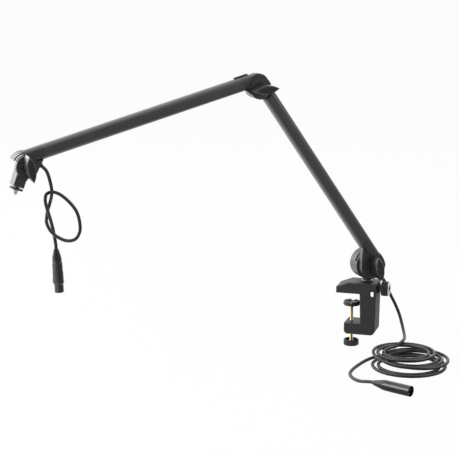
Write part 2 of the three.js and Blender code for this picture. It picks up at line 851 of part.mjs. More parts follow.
function addGrooveCover() {
  const rim = baseDrumRadius - runningGap;
  const sector = ringSector(rim, rim - coverThickness, coverStart, coverEnd);
  const half = channelHalf - runningGap;
  addPiece(baseHinge, 'groove_cover', slabBetween(sector, leadPlane - half, leadPlane + half), 'rubber');
}

function addLeadClip() {
  const spread = clipDepth / baseDrumRadius / 2;
  const start = clipAngle - spread;
  const end = clipAngle + spread;
  const tongueFloor = baseLeadRadius + leadDiameter / 2 + runningGap;
  const tongueHalf = channelHalf - runningGap;
  const strapHalf = channelHalf + clipRise;
  const strap = ringSector(baseDrumRadius + clipRise, baseDrumRadius + runningGap, start, end);
  const tongue = ringSector(baseDrumRadius + clipRise / 2, tongueFloor, start, end);
  addPiece(baseHinge, 'lead_clip', join(
    slabBetween(strap, leadPlane - strapHalf, leadPlane + strapHalf),
    slabBetween(tongue, leadPlane - tongueHalf, leadPlane + tongueHalf),
  ), 'plastic');
}

// Lower arm: the base casting carries the front drum, the elbow casting the rear one

const lowerTubeEnd = lowerArmLength - elbowLowerSleeve;

function addLowerArm() {
  const front = halfGap + baseFrontDepth;
  const baseRoom = rodAlongY(baseClearRadius, -tubeSize, halfGap, drumSides);
  const baseCasting = cut(
    join(
      rodAlongY(baseFrontRadius, halfGap, front, drumSides),
      cut(barWithPlug(1, baseSleeve, lowerTubeShift), baseRoom),
      webSlab(1, baseFrontRadius, baseWebAngle, baseWebReach, lowerTubeShift, halfGap, barHalf),
    ),
    frontBore(front),
    leadChannel(...baseSleeveChannel),
    leadChannel(...baseTubeChannel),
  );
  addPiece(lowerGroup, 'lower_base_casting', baseCasting, 'casting');
  addPiece(lowerGroup, 'lower_tube', tube(baseSleeve, lowerTubeEnd, lowerTubeShift), 'tube');
  const back = -halfGap - elbowDrumDepth;
  const elbowRoom = rodAlongY(elbowClearRadius, -halfGap, tubeSize, drumSides);
  const web = webSlab(-1, elbowDrumRadius, elbowLowerWebAngle, elbowLowerWebReach, elbowTubeShift, -barHalf,
    -halfGap);
  const elbowCasting = cut(
    join(
      rodAlongY(elbowDrumRadius, back, -halfGap, drumSides),
      cut(barWithPlug(-1, elbowLowerSleeve, elbowTubeShift), elbowRoom),
      web,
    ),
    ...rearTools(elbowDrumRadius * discRimShare, back),
    grooveTool(elbowLeadClearRadius, elbowGrooveFloor, elbowGrooveStart, elbowGrooveEnd),
    leadChannel(...elbowRearChannel),
    leadChannel(...elbowTailChannel),
  );
  addPiece(elbowHinge, 'lower_elbow_casting', elbowCasting, 'casting');
}

// Upper arm: the elbow casting and the head casting carry front drums

function addUpperArm() {
  const elbowFront = halfGap + elbowDrumDepth;
  const elbowRoom = rodAlongY(elbowLeadClearRadius, -tubeSize, halfGap, drumSides);
  const crown = rodAlongY(elbowDrumRadius, halfGap, barHalf, drumSides).translate(crownX, 0, crownZ);
  const elbowCasting = cut(
    join(
      rodAlongY(elbowDrumRadius, halfGap, elbowFront, drumSides),
      crown,
      cut(barWithPlug(1, elbowUpperSleeve, upperTubeShift), elbowRoom),
      webSlab(1, elbowDrumRadius, elbowUpperWebAngle, elbowUpperWebReach, upperTubeShift, halfGap, barHalf),
    ),
    frontBore(elbowFront),
    leadChannel(...elbowFrontChannel),
    leadChannel(...elbowTubeChannel),
  );
  addPiece(upperGroup, 'upper_elbow_casting', elbowCasting, 'casting');
  const tubeEnd = upperArmLength - headSleeve;
  addPiece(upperGroup, 'upper_tube', tube(elbowUpperSleeve, tubeEnd, upperTubeShift), 'tube');
  const around = squareBar(tubeSize + 2 * runningGap, tubeCorner + runningGap, 0, stripEnd + cutOverrun,
    upperTubeShift);
  const strip = cut(block(stripStart, stripEnd, stripNear, stripFar, upperTubeShift, stripTop), around);
  addPiece(upperGroup, 'elbow_groove_cover', strip, 'rubber');
}

function addHeadCasting() {
  const front = halfGap + headDrumDepth;
  const room = rodAlongY(headClearRadius, -tubeSize, halfGap, drumSides);
  const hoodGap = slabBetween(ringSector(hoodInner, 0, hoodGapStart, hoodGapEnd), -tubeSize, halfGap);
  const hood = slabBetween(ringSector(hoodOuter, hoodInner, hoodStart, hoodEnd), -halfGap - hoodDepth, halfGap);
  const glandHole = rodAlongX(glandNeckRadius + runningGap, glandNeckStart - cutOverrun, glandNeckEnd);
  const casting = cut(
    join(
      rodAlongY(headDrumRadius, halfGap, front, drumSides),
      cut(barWithPlug(-1, headSleeve, upperTubeShift), room, hoodGap),
      webSlab(-1, headDrumRadius, headWebAngle, headWebReach, upperTubeShift, halfGap, barHalf),
      hood,
    ),
    frontBore(front),
    leadChannel(...headChannel),
    glandHole.rotateY(glandTurn).translate(glandX, leadPlane, glandZ),
  );
  addPiece(headHinge, 'upper_head_casting', casting, 'casting');
}

function addHeadGland() {
  const bore = leadDiameter / 2 + runningGap;
  const gland = turned([
    [bore, glandNeckStart],
    [glandNeckRadius, glandNeckStart],
    [glandNeckRadius, glandNeckEnd],
    [glandRadius, glandNeckEnd],
    [glandTipRadius, glandEnd],
    [bore, glandEnd],
  ]).rotateZ(-Math.PI / 2);
  addPiece(headHinge, 'head_gland', gland.rotateY(glandTurn).translate(glandX, leadPlane, glandZ), 'rubber');
}

// Head bracket, stud and lock ring

function addHead() {
  const back = -halfGap - bracketDepth;
  const wide = bracketTopRadius;
  const outline = new THREE.Shape();
  outline.absarc(0, 0, wide, Math.PI / 2, Math.PI * 1.5, false);
  outline.lineTo(bracketStepPlace, -wide);
  outline.lineTo(bracketStepPlace + bracketStep, bracketStep - wide);
  outline.lineTo(bracketLength, bracketStep - wide);
  outline.lineTo(bracketLength, wide);
  outline.closePath();
  const body = slabBetween(outline, back, -halfGap, bracketBevel);
  const middle = -halfGap - bracketDepth / 2;
  const studHole = rodAlongX(studRadius + runningGap, bracketLength - studDepth - runningGap,
    bracketLength + cutOverrun);
  const bracket = cut(body, ...rearTools(bracketDiscRadius, back), studHole.translate(0, middle, 0));
  addPiece(headGroup, 'head_bracket', bracket, 'casting');
  const stud = rodAlongX(studRadius, bracketLength - studDepth, bracketLength + studReach);
  addPiece(headGroup, 'mic_stud', stud.translate(0, middle, 0), 'brass');
  const nutFar = lockNutPlace + lockNutThickness;
  const notches = flutes(lockNutNotches, lockNutNotchRadius, lockNutRadius, lockNutPlace, nutFar);
  const ring = washerAlongY(lockNutRadius, studRadius + runningGap, lockNutPlace, nutFar, drumSides);
  const nut = cut(ring, ...notches).rotateZ(-Math.PI / 2).translate(0, middle, 0);
  addPiece(headGroup, 'stud_lock_ring', nut, 'nickel');
}

function addJoints() {
  const baseFace = addKnobSet(baseHinge, 'base', halfGap + baseFrontDepth, baseWingTurn);
  addJointCore(baseHinge, 'base', baseDiscRadius, baseBack, baseFace);
  const elbowBack = -halfGap - elbowDrumDepth;
  const elbowFace = addKnobSet(upperGroup, 'elbow', halfGap + elbowDrumDepth, elbowWingTurn);
  addJointCore(elbowHinge, 'elbow', elbowDrumRadius * discRimShare, elbowBack, elbowFace);
  const headFace = addKnobSet(headHinge, 'head', halfGap + headDrumDepth, headWingTurn);
  addJointCore(headGroup, 'head', bracketDiscRadius, -halfGap - bracketDepth, headFace);
}

// Lead pieces

// Points on an arc about a joint's axis, in the lead's plane.
function arcPoints(radius, start, end, count) {
  const points = [];
  for (let k = 0; k <= count; k += 1) {
    const angle = start + ((end - start) * k) / count;
    points.push([radius * Math.cos(angle), leadPlane, radius * Math.sin(angle)]);
  }
  return points;
}

// Points of the lower arm's frame at the elbow seen from the upper arm's frame.
function turnedPoints(points, angle) {
  const turn = new THREE.Matrix4().makeRotationY(-angle);
  return points.map((point) => new THREE.Vector3(...point).applyMatrix4(turn).toArray());
}

const baseLeadStart = radians(192);
const baseLeadLift = radians(62);
const baseLeadSteps = 6;
const elbowLeadRadius = 19.7;
const elbowLeadStart = radians(118);
const elbowLeadSteps = 6;
const jointLeadEnd = 60;

function addArmLeads() {
  const radius = leadDiameter / 2;
  const baseBridge = [
    ...arcPoints(baseLeadRadius, baseLeadStart - lowerReach, baseLeadLift, baseLeadSteps),
    [baseLeadRadius * 0.825, leadPlane, baseLeadRadius * 0.71],
    [30, leadPlane, lowerTubeShift + 1.2], [40, leadPlane, lowerTubeShift + 0.1], [50, leadPlane, lowerTubeShift],
    [jointLeadEnd, leadPlane, lowerTubeShift],
  ];
  addPiece(lowerGroup, 'base_bridge_lead', leadAlong(baseBridge, radius, 20), 'jacket');
  const lowerRun = [
    [jointLeadEnd + runningGap, leadPlane, lowerTubeShift],
    [lowerArmLength - jointLeadEnd - runningGap, leadPlane, lowerTubeShift],
  ];
  addPiece(lowerGroup, 'lower_lead', leadAlong(lowerRun, radius, 2), 'jacket');
  const elbowNear = [
    [-jointLeadEnd, leadPlane, elbowTubeShift], [-50, leadPlane, elbowTubeShift],
    [-38, leadPlane, elbowTubeShift + 0.2], [-27, leadPlane, elbowTubeShift + 2],
    [-17.5, leadPlane, elbowTubeShift + 5.8],
  ];
  const elbowBridge = [
    ...turnedPoints(elbowNear, elbowFold),
    ...arcPoints(elbowLeadRadius, elbowLeadStart + elbowFold, Math.PI / 2, elbowLeadSteps),
    [12, leadPlane, elbowLeadRadius], [22, leadPlane, upperTubeShift + 3.6], [33, leadPlane, upperTubeShift + 1],
    [45, leadPlane, upperTubeShift],
    [jointLeadEnd, leadPlane, upperTubeShift],
  ];
  addPiece(elbowHinge, 'elbow_bridge_lead', leadAlong(elbowBridge, radius, 24).rotateY(elbowFold), 'jacket');
  const upperRun = [
    [jointLeadEnd + runningGap, leadPlane, upperTubeShift],
    [upperArmLength - jointLeadEnd - runningGap, leadPlane, upperTubeShift],
  ];
  addPiece(upperGroup, 'upper_lead', leadAlong(upperRun, radius, 2), 'jacket');
  const headBridge = [
    [-jointLeadEnd, leadPlane, upperTubeShift], [-50, leadPlane, upperTubeShift],
    [-41, leadPlane, upperTubeShift + 0.8], [-33, leadPlane, upperTubeShift + 2.6],
    [-25, leadPlane, upperTubeShift + 4], [-18, leadPlane, upperTubeShift + 3], [-14.2, leadPlane, 13.2],
    [-14.39, leadPlane, 7.76], [-17.83, leadPlane, 2.84],
  ];
  addPiece(headHinge, 'head_bridge_lead', leadAlong(headBridge, radius, 20), 'jacket');
}

// Hanging lead at the head: points outwards, to the knobs and up from the head's pivot.
const headLeadRoute = [
  [-16.68, leadPlane, 7.26], [-22.84, leadPlane, 2.14], [-28.46, leadPlane, -2.52], [-36.6, -6, -11.5], [-42, -3.5, -30],
  [-44.2, -2.5, -48.5], [-41.6, -8, -68], [-38.4, -10.5, -80], [-36, -10, -91], [-34.8, -7, -101.5],
  [-40.5, -2.5, -115.5], [-53, -2.5, -127.5], [-70, -4, -135.5], [-85, -6.5, -134], [-93, -7, -121.5],
  [-93.2, -7.5, -104.5], [-88, -8.5, -85.5], [-75, -9.5, -67.5], [-59, -10.5, -53.8], [-46, -10.5, -49.3],
  [-35.8, -8, -52.5], [-33, -5, -62.5], [-36.4, -2.5, -81], [-39.6, -2.7, -92], [-42.8, -6, -101.5],
  [-46, -10.3, -112], [-48.3, -10.5, -124], [-50, -10, -137], [-50.7, -10, -143.2], [-51, -10, -149.2],
];

// Free lead from the base to the coil, in the part's own frame.
const baseLeadRoute = [
  [51, 10, 51.1], [50, 9.2, 45.3], [50.3, 9.7, 38.5], [52.5, 13, 31], [57, 20, 20.5], [62, 26.5, 8],
  [66.5, 30, -6], [73.5, 30.8, -19.5], [80, 30, -32], [86.5, 28, -46], [92, 22, -59], [97, 12, -68.6],
  [102, -3, -74.4], [106, -20, -75.9], [107.8, -37, -75.9], [107, -48, -75.9], [105.2, -56, -76.7],
  [101.6, -61.8, -79.4], [96.6, -65.6, -82.2], [90.79, -70.57, -83.02], [88.16, -76.13, -83.02],
];

// Tail of the lead from the plug to the coil.
const tailRoute = [
  [93.72, -244.89, -95.5], [88.2, -242.6, -95.5], [80, -238.3, -97], [68, -229.5, -100.4],
  [57, -220, -101.9], [46, -206, -102], [39.5, -190, -102], [38, -172, -102], [40, -150, -102],
  [44, -128, -102], [49, -107, -102], [57, -85.5, -102],
];

function addHeadLead() {
  const lead = leadAlong(headLeadRoute, leadDiameter / 2, 36);
  addPiece(hangingGroup, 'head_lead', lead, 'jacket');
}

function addBaseLead() {
  addPiece(boomArm, 'base_lead', leadAlong(baseLeadRoute, leadDiameter / 2, 26), 'jacket');
}

// Coil from its outer end on the floor: layers wound in and out by turns.
function coilPoints() {
  const span = coilTurnsPerLayer + coilClimbTurns;
  const total = coilLayers * span - coilClimbTurns;
  const points = [];
  for (let step = 0; step <= total * coilSteps; step += 1) {
    const turn = step / coilSteps;
    const layer = Math.min(Math.floor(turn / span), coilLayers - 1);
    const next = Math.min(layer + 1, coilLayers - 1);
    const into = turn - layer * span;
    const climb = next > layer ? smooth(into, coilTurnsPerLayer, span) : 0;
    const wound = Math.min(into, coilTurnsPerLayer);
    const inward = layer % 2 === 0 ? coilTurnsPerLayer - wound : wound;
    const radius = mix(coilInnerRadii[layer], coilInnerRadii[next], climb) + coilPitch * inward;
    const [x, y] = [0, 1].map((k) => mix(coilCentres[layer][k], coilCentres[next][k], climb));
    const angle = coilStartAngle - turn * Math.PI * 2;
    const height = floorHeight + leadDiameter / 2 + coilLayerHeight * (layer + climb);
    points.push(new THREE.Vector3(x + radius * Math.cos(angle), y + radius * Math.sin(angle), height));
  }
  return points;
}

function addCoil() {
  const coil = coilPoints();
  const tailPoints = tailRoute.map((point) => new THREE.Vector3(...point));
  const tail = new THREE.CatmullRomCurve3([...tailPoints, coil[0]], false, 'centripetal');
  const lead = [...tail.getSpacedPoints(tailSteps).slice(0, -1), ...coil];
  const straight = tailPoints[1];
  const route = [lead[0], straight, ...lead.slice(1)];
  addPiece(boomArm, 'lead_coil', woundTube(route, leadDiameter / 2, coilSides), 'jacket');
  console.log('least gap of the coil to itself', leastGap(route, leadDiameter, leadDiameter * 4).toFixed(2));
  const hanging = new THREE.CatmullRomCurve3(headLeadRoute.map((point) => new THREE.Vector3(...point)), false,
    'centripetal').getSpacedPoints(400);
  console.log('least gap of the head lead to itself', leastGap(hanging, leadDiameter, leadDiameter * 4).toFixed(2));
}

// Three-pin plugs: +X runs from the cord end to the open end.

function plugGroup(parent, place, toward) {
  const group = new THREE.Group();
  group.position.set(...place);
  group.quaternion.setFromUnitVectors(new THREE.Vector3(1, 0, 0), new THREE.Vector3(...toward).normalize());
  parent.add(group);
  return group;
}

function alongX(pairs, sides = roundSides) {
  return turned(pairs, sides).rotateZ(-Math.PI / 2);
}

function addMalePlug() {
  const group = plugGroup(boomArm, plugPlace, plugAim);
  const neck = plugInnerRadius - runningGap;
  const boot = [
    [0, 0], [plugBackRadius, 0], ...pinBootSwell, [neck, plugSeam], [neck, plugNeckEnd],
    [0, plugNeckEnd],
  ];
  const shell = [
    [plugInnerRadius, plugSeam + runningGap], [plugBodyRadius, plugSeam + runningGap], [plugBodyRadius, pinPlugLength],
    [plugInnerRadius, pinPlugLength],
  ];
  addPiece(group, 'male_boot', alongX(boot), 'plastic');
  addPiece(group, 'male_shell', alongX(shell), 'plastic');
  const pinHole = plugPinRadius + runningGap;
  const places = [0, Math.PI, Math.PI * 1.5].map((angle) => [
    plugPinCircle * Math.cos(angle),
    plugPinCircle * Math.sin(angle),
  ]);
  const holes = places.map(([y, z]) => {
    const hole = rodAlongX(pinHole, plugPinStart - runningGap, plugPinHoleEnd, smallSides);
    return hole.translate(0, y, z);
  });
  addPiece(group, 'male_insert', cut(rodAlongX(neck, plugNeckEnd + runningGap, plugInsertEnd), ...holes), 'plastic');
  places.forEach(([y, z], k) => {
    const pin = rodAlongX(plugPinRadius, plugPinStart, plugPinEnd, plugPinSides).translate(0, y, z);
    addPiece(group, `male_pin_${k + 1}`, pin, 'gold');
  });
}

function addFemalePlug() {
  const group = plugGroup(hangingGroup, socketPlace, socketAim);
  const neck = socketInnerRadius - runningGap;
  const boot = [
    [0, 0], [plugBackRadius, 0], ...socketBootSwell, [neck, socketSeam], [neck, socketNeckEnd],
    [0, socketNeckEnd],
  ];
  const shell = [
    [socketInnerRadius, socketSeam + runningGap], [plugBodyRadius, socketSeam + runningGap],
    [plugBodyRadius, socketShoulder], [socketFrontRadius, socketShoulder + socketShoulderRise],
    [socketFrontRadius, socketPlugLength], [socketInnerRadius, socketPlugLength],
  ];
  const half = latchWidth / 2;
  const slot = block(latchStart - runningGap, latchEnd + runningGap, -half - runningGap, half + runningGap,
    latchPocketFloor, latchTop + cutOverrun);
  addPiece(group, 'female_boot', alongX(boot), 'plastic');
  addPiece(group, 'female_shell', cut(alongX(shell), slot), 'plastic');
  const sockets = [0, Math.PI, Math.PI * 1.5].map((angle) => {
    const hole = rodAlongX(plugPinRadius + runningGap, socketHoleStart, socketPlugLength, smallSides);
    return hole.translate(0, plugPinCircle * Math.cos(angle), plugPinCircle * Math.sin(angle));
  });
  addPiece(group, 'female_insert', cut(rodAlongX(neck, socketNeckEnd + runningGap, socketInsertEnd), slot, ...sockets), 'plastic');
  addPiece(group, 'latch_button', block(latchStart, latchEnd, -half, half, latchFoot, latchTop), 'steel');
}

addClampFrame();
addJawPad();
addNeckBush();
addLockKnob();
addSpindle();
addPressurePad();
addClampKnob();
addBasePin();
addBaseBracket();
addGrooveCover();
addLeadClip();
addLowerArm();
addUpperArm();
addHeadCasting();
addHeadGland();
addHead();
addJoints();
addArmLeads();
addHeadLead();
addBaseLead();
addCoil();
addMalePlug();
addFemalePlug();

export default boomArm;
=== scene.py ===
"""Desk microphone boom arm: finished surfaces, cords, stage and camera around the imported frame."""

import json
import math

import bpy
from bpy.props import FloatProperty, FloatVectorProperty, IntProperty, PointerProperty
from mathutils import Matrix, Vector

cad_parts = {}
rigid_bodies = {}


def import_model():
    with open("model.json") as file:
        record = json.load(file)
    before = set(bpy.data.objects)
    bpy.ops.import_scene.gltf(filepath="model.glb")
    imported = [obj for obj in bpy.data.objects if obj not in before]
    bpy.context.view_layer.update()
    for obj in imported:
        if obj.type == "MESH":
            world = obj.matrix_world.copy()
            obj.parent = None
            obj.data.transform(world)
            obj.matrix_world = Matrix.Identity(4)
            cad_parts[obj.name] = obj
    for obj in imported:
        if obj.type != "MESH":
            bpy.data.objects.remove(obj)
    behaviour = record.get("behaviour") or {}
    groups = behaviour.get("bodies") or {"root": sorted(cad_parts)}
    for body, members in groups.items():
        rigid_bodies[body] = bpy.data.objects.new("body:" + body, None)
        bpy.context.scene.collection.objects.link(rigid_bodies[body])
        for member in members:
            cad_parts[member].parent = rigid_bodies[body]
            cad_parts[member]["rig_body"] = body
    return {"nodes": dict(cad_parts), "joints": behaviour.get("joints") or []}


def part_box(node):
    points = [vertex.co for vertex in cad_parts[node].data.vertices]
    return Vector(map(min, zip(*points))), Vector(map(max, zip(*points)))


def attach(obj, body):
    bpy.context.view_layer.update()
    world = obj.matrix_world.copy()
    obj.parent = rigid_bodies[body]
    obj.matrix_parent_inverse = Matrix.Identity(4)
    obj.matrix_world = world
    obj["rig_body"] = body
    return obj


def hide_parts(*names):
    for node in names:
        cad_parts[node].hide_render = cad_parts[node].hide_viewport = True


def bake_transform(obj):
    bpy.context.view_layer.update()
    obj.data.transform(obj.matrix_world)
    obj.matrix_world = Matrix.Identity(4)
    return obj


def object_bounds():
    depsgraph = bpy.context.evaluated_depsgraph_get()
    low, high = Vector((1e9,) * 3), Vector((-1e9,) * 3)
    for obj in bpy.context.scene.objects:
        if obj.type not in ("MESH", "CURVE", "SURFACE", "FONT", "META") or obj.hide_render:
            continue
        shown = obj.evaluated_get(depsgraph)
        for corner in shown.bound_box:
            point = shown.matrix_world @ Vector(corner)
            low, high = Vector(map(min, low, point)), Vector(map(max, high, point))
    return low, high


bl_info = {
    "name": "Desk microphone boom arm",
    "version": (1, 0, 0),
    "blender": (4, 5, 0),
    "location": "View3D > Sidebar > Boom arm",
    "description": "Finishes, cords and stage for a two-section desk microphone boom arm",
    "category": "Add Mesh",
}

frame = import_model()
CAD_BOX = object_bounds()
NODES = frame["nodes"]
JOINTS = {joint["name"]: joint for joint in frame["joints"]}
UP = Vector((0, 0, 1))

# Directions and pivots of the arm, from the frame's joints
KNOB_SIDE = Vector(JOINTS["base_tilt"]["axis"])
OUTWARD = KNOB_SIDE.cross(UP).normalized()
HEAD_PIVOT = Vector(JOINTS["head_tilt"]["pos_m"])
STUD_PLACE = Vector(JOINTS["lock_ring_turn"]["pos_m"])
STUD_AXIS = Vector(JOINTS["lock_ring_turn"]["axis"]).normalized()

# Routes of the free lead: metres, from the clamp's origin or, at the head, from the head's pivot
BASE_LEAD_ROUTE = [
    (0.051, 0.010, 0.0511), (0.050, 0.0092, 0.0453), (0.0503, 0.0097, 0.0385), (0.0525, 0.013, 0.031),
    (0.057, 0.020, 0.0205), (0.062, 0.0265, 0.008), (0.0665, 0.030, -0.006), (0.0735, 0.0308, -0.0195),
    (0.080, 0.030, -0.032), (0.0865, 0.028, -0.046), (0.092, 0.022, -0.059), (0.097, 0.012, -0.0686),
    (0.102, -0.003, -0.0744), (0.106, -0.020, -0.0759), (0.1078, -0.037, -0.0759), (0.107, -0.048, -0.0759),
    (0.1052, -0.056, -0.0767), (0.1016, -0.0618, -0.0794), (0.0966, -0.0656, -0.0822),
    (0.09079, -0.07057, -0.08302), (0.08816, -0.07613, -0.08302),
]
TAIL_ROUTE = [
    (0.09372, -0.24489, -0.0955), (0.0882, -0.2426, -0.0955), (0.080, -0.2383, -0.097),
    (0.068, -0.2295, -0.1004), (0.057, -0.220, -0.1019), (0.046, -0.206, -0.102), (0.0395, -0.190, -0.102),
    (0.038, -0.172, -0.102), (0.040, -0.150, -0.102), (0.044, -0.128, -0.102), (0.049, -0.107, -0.102),
    (0.057, -0.0855, -0.102),
]
HEAD_LEAD_ROUTE = [
    (-0.01668, -0.0065, 0.00726), (-0.02284, -0.0065, 0.00214), (-0.02846, -0.0065, -0.00252),
    (-0.0366, -0.006, -0.0115), (-0.042, -0.0035, -0.030), (-0.0442, -0.0025, -0.0485),
    (-0.0416, -0.008, -0.068), (-0.0384, -0.0105, -0.080), (-0.036, -0.010, -0.091),
    (-0.0348, -0.007, -0.1015), (-0.0405, -0.0025, -0.1155), (-0.053, -0.0025, -0.1275),
    (-0.070, -0.004, -0.1355), (-0.085, -0.0065, -0.134), (-0.093, -0.007, -0.1215),
    (-0.0932, -0.0075, -0.1045), (-0.088, -0.0085, -0.0855), (-0.075, -0.0095, -0.0675),
    (-0.059, -0.0105, -0.0538), (-0.046, -0.0105, -0.0493), (-0.0358, -0.008, -0.0525),
    (-0.033, -0.005, -0.0625), (-0.0364, -0.0025, -0.081), (-0.0396, -0.0027, -0.092),
    (-0.0428, -0.006, -0.1015), (-0.046, -0.0103, -0.112), (-0.0483, -0.0105, -0.124),
    (-0.050, -0.010, -0.137), (-0.0507, -0.010, -0.1432), (-0.051, -0.010, -0.1492),
]

# Coil on the floor: three layers, wound in and out by turns
COIL_LAYERS = 3
COIL_TURNS = 2
COIL_CLIMB = 0.5
COIL_START = math.radians(149.71)
COIL_PITCH = 0.01048
COIL_LAYER_HEIGHT = 0.00949
COIL_INNER_RADII = (0.05136, 0.04283, 0.037)
COIL_CENTRES = ((0.12818, -0.10922), (0.13652, -0.09735), (0.11996, -0.09511))

# Floor under the coil, and the white of the room
FLOOR_HEIGHT = -0.105
FLOOR_SINK = 0.0003
FLOOR_SIZE = 60
FLOOR_COLOUR = (0.88, 0.88, 0.88)
FLOOR_ROUGHNESS = 0.9
WHITE = (1, 1, 1, 1)

# Lead: its radius, the spacing of points on its routes, and the fineness of its round section
LEAD_RADIUS = 0.003
ROUTE_STEP = 0.0015
SECTION_FINENESS = 4

# Threads
SPINDLE_THREAD_DEPTH = 0.0005
STUD_THREAD_DEPTH = 0.0006
STUD_RADIUS = 0.00476
THREAD_SIDES = 32

# Angles between faces in degrees: joined below the first, rounded above the second, smoothed below the others
FLAT_ANGLE = 0.6
BEVEL_ANGLE = 38
CASTING_SMOOTH = 42
THREAD_SMOOTH = 30
CORD_SMOOTH = 50
FIXED_LEAD_SMOOTH = 60

# Gaps in metres that are closed when triangles are joined, and the weight of large faces in the shading
WELD_GAP = 0.00001
CORD_WELD_GAP = 0.000001
FACE_WEIGHT = 60

# Noise in paint and plastic, then in metal: its scales, and how far it moves tone, gloss and surface
TONE_SCALE = 14
TONE_SPAN = (0.3, 0.7)
GLOSS_SCALE = 65
GLOSS_SPREAD = (0.06, 0.08)
METAL_TONE_SCALE = 60
METAL_TONE_SHIFT = 0.08
METAL_GLOSS_SCALE = 300
METAL_GLOSS_SPREAD = (0.06, 0.1)
METAL_MARK_SCALE = 2200
METAL_MARK_DEPTH = 0.00003
METAL_MARK_STRENGTH = 0.25

# Roughness of the clear coat on glossy plastic
COAT_ROUGHNESS = 0.25

# Gradients of light in reflections: direction, reach along it, and strengths at both ends
FLOOR_LIGHT = ((-0.9, 0.4, 0), (-0.3, 0.3), (0.3, 1.5))
ROOM_LIGHT = ((-0.45, 0.62, 0.64), (-0.3, 0.55), (0.12, 1.5))
FLOOR_CLEARNESS = 0.95

# Camera's sensor in millimetres, and the distances in metres that it sees between
SENSOR_WIDTH = 36
CLIP_START = 0.1
CLIP_END = 60

# Place and edge of each lamp
KEY_LAMP = ((-1.9, -1.5, 1.2), 1.5)
SIDE_LAMP = ((2.1, -0.6, 1.3), 1.1)
LEFT_LAMP = ((-2.3, 0.6, 0.5), 2.0)


class BoomArmSizes(bpy.types.PropertyGroup):
    """Sizes of the arm's finished details."""

    casting_round: FloatProperty(
        name="Casting edges", description="Radius on the edges of the painted castings",
        default=0.0008, min=0.0001, max=0.003, unit="LENGTH", precision=4,
    )
    knob_round: FloatProperty(
        name="Knob edges", description="Radius on the edges of the moulded knobs",
        default=0.0018, min=0.0001, max=0.003, unit="LENGTH", precision=4,
    )
    trim_round: FloatProperty(
        name="Small edges", description="Radius on the edges of small turned and moulded pieces",
        default=0.0003, min=0.0001, max=0.001, unit="LENGTH", precision=4,
    )
    lead_diameter: FloatProperty(
        name="Lead diameter", description="Outer diameter of the lead's jacket",
        default=2 * LEAD_RADIUS, min=0.003, max=0.008, unit="LENGTH", precision=4,
    )
    spindle_pitch: FloatProperty(
        name="Spindle pitch", description="Pitch of the clamp spindle's thread",
        default=0.001, min=0.0008, max=0.003, unit="LENGTH", precision=4,
    )
    stud_pitch: FloatProperty(
        name="Stud pitch", description="Pitch of the microphone stud's thread",
        default=0.00159, min=0.0008, max=0.003, unit="LENGTH", precision=5,
    )
    coil_steps: IntProperty(
        name="Coil steps", description="Points on each turn of the coil", default=48, min=24, max=96,
    )


class BoomArmColours(bpy.types.PropertyGroup):
    """Colours of the arm's finishes."""

    casting: FloatVectorProperty(
        name="Castings", description="Painted joint castings", subtype="COLOR", size=3,
        default=(0.020, 0.0205, 0.0215), min=0, max=1,
    )
    clamp: FloatVectorProperty(
        name="Clamp", description="Powder coated clamp", subtype="COLOR", size=3,
        default=(0.014, 0.0145, 0.015), min=0, max=1,
    )
    tube: FloatVectorProperty(
        name="Tubes", description="Coated arm tubes", subtype="COLOR", size=3,
        default=(0.024, 0.0255, 0.0275), min=0, max=1,
    )
    plastic: FloatVectorProperty(
        name="Plastic", description="Moulded plastic", subtype="COLOR", size=3,
        default=(0.012, 0.012, 0.013), min=0, max=1,
    )
    rubber: FloatVectorProperty(
        name="Rubber", description="Rubber covers and pads", subtype="COLOR", size=3,
        default=(0.012, 0.012, 0.012), min=0, max=1,
    )
    jacket: FloatVectorProperty(
        name="Lead jacket", description="Jacket of the lead", subtype="COLOR", size=3,
        default=(0.010, 0.0105, 0.011), min=0, max=1,
    )
    steel: FloatVectorProperty(
        name="Steel", description="Bolts, pins and washers", subtype="COLOR", size=3,
        default=(0.50, 0.51, 0.52), min=0, max=1,
    )
    nickel: FloatVectorProperty(
        name="Nickel", description="Plated rings", subtype="COLOR", size=3,
        default=(0.58, 0.58, 0.56), min=0, max=1,
    )
    brass: FloatVectorProperty(
        name="Brass", description="Spindle and knob inserts", subtype="COLOR", size=3,
        default=(0.62, 0.53, 0.33), min=0, max=1,
    )
    stud: FloatVectorProperty(
        name="Stud", description="Pale plated brass of the microphone stud", subtype="COLOR", size=3,
        default=(0.74, 0.70, 0.58), min=0, max=1,
    )
    gold: FloatVectorProperty(
        name="Gold", description="Plated contact pins", subtype="COLOR", size=3,
        default=(0.82, 0.60, 0.22), min=0, max=1,
    )
    lining: FloatVectorProperty(
        name="Lining", description="Friction discs", subtype="COLOR", size=3,
        default=(0.16, 0.11, 0.07), min=0, max=1,
    )


class BoomArmStage(bpy.types.PropertyGroup):
    """Camera and light of the stage."""

    focal_length: FloatProperty(
        name="Focal length", description="Lens of the camera on a 36 mm wide sensor",
        default=115.4, min=20, max=300, unit="CAMERA",
    )
    camera_place: FloatVectorProperty(
        name="Camera", description="Place of the camera", subtype="XYZ", size=3, unit="LENGTH",
        default=(0.5649, -2.6445, 0.7056),
    )
    camera_aim: FloatVectorProperty(
        name="Aim", description="Direction that the camera looks in", subtype="DIRECTION", size=3,
        default=(-0.2858, 0.9345, -0.2123),
    )
    key_power: FloatProperty(
        name="Key light", description="Power of the key light in watts", default=44, min=0, max=200,
    )
    side_power: FloatProperty(
        name="Side light", description="Power of the side light in watts", default=20, min=0, max=200,
    )
    left_power: FloatProperty(
        name="Left light", description="Power of the low light on the left in watts",
        default=24, min=0, max=200,
    )
    room_light: FloatProperty(
        name="Room light", description="Strength of the even light all round", default=0.5, min=0, max=1,
    )


# Materials


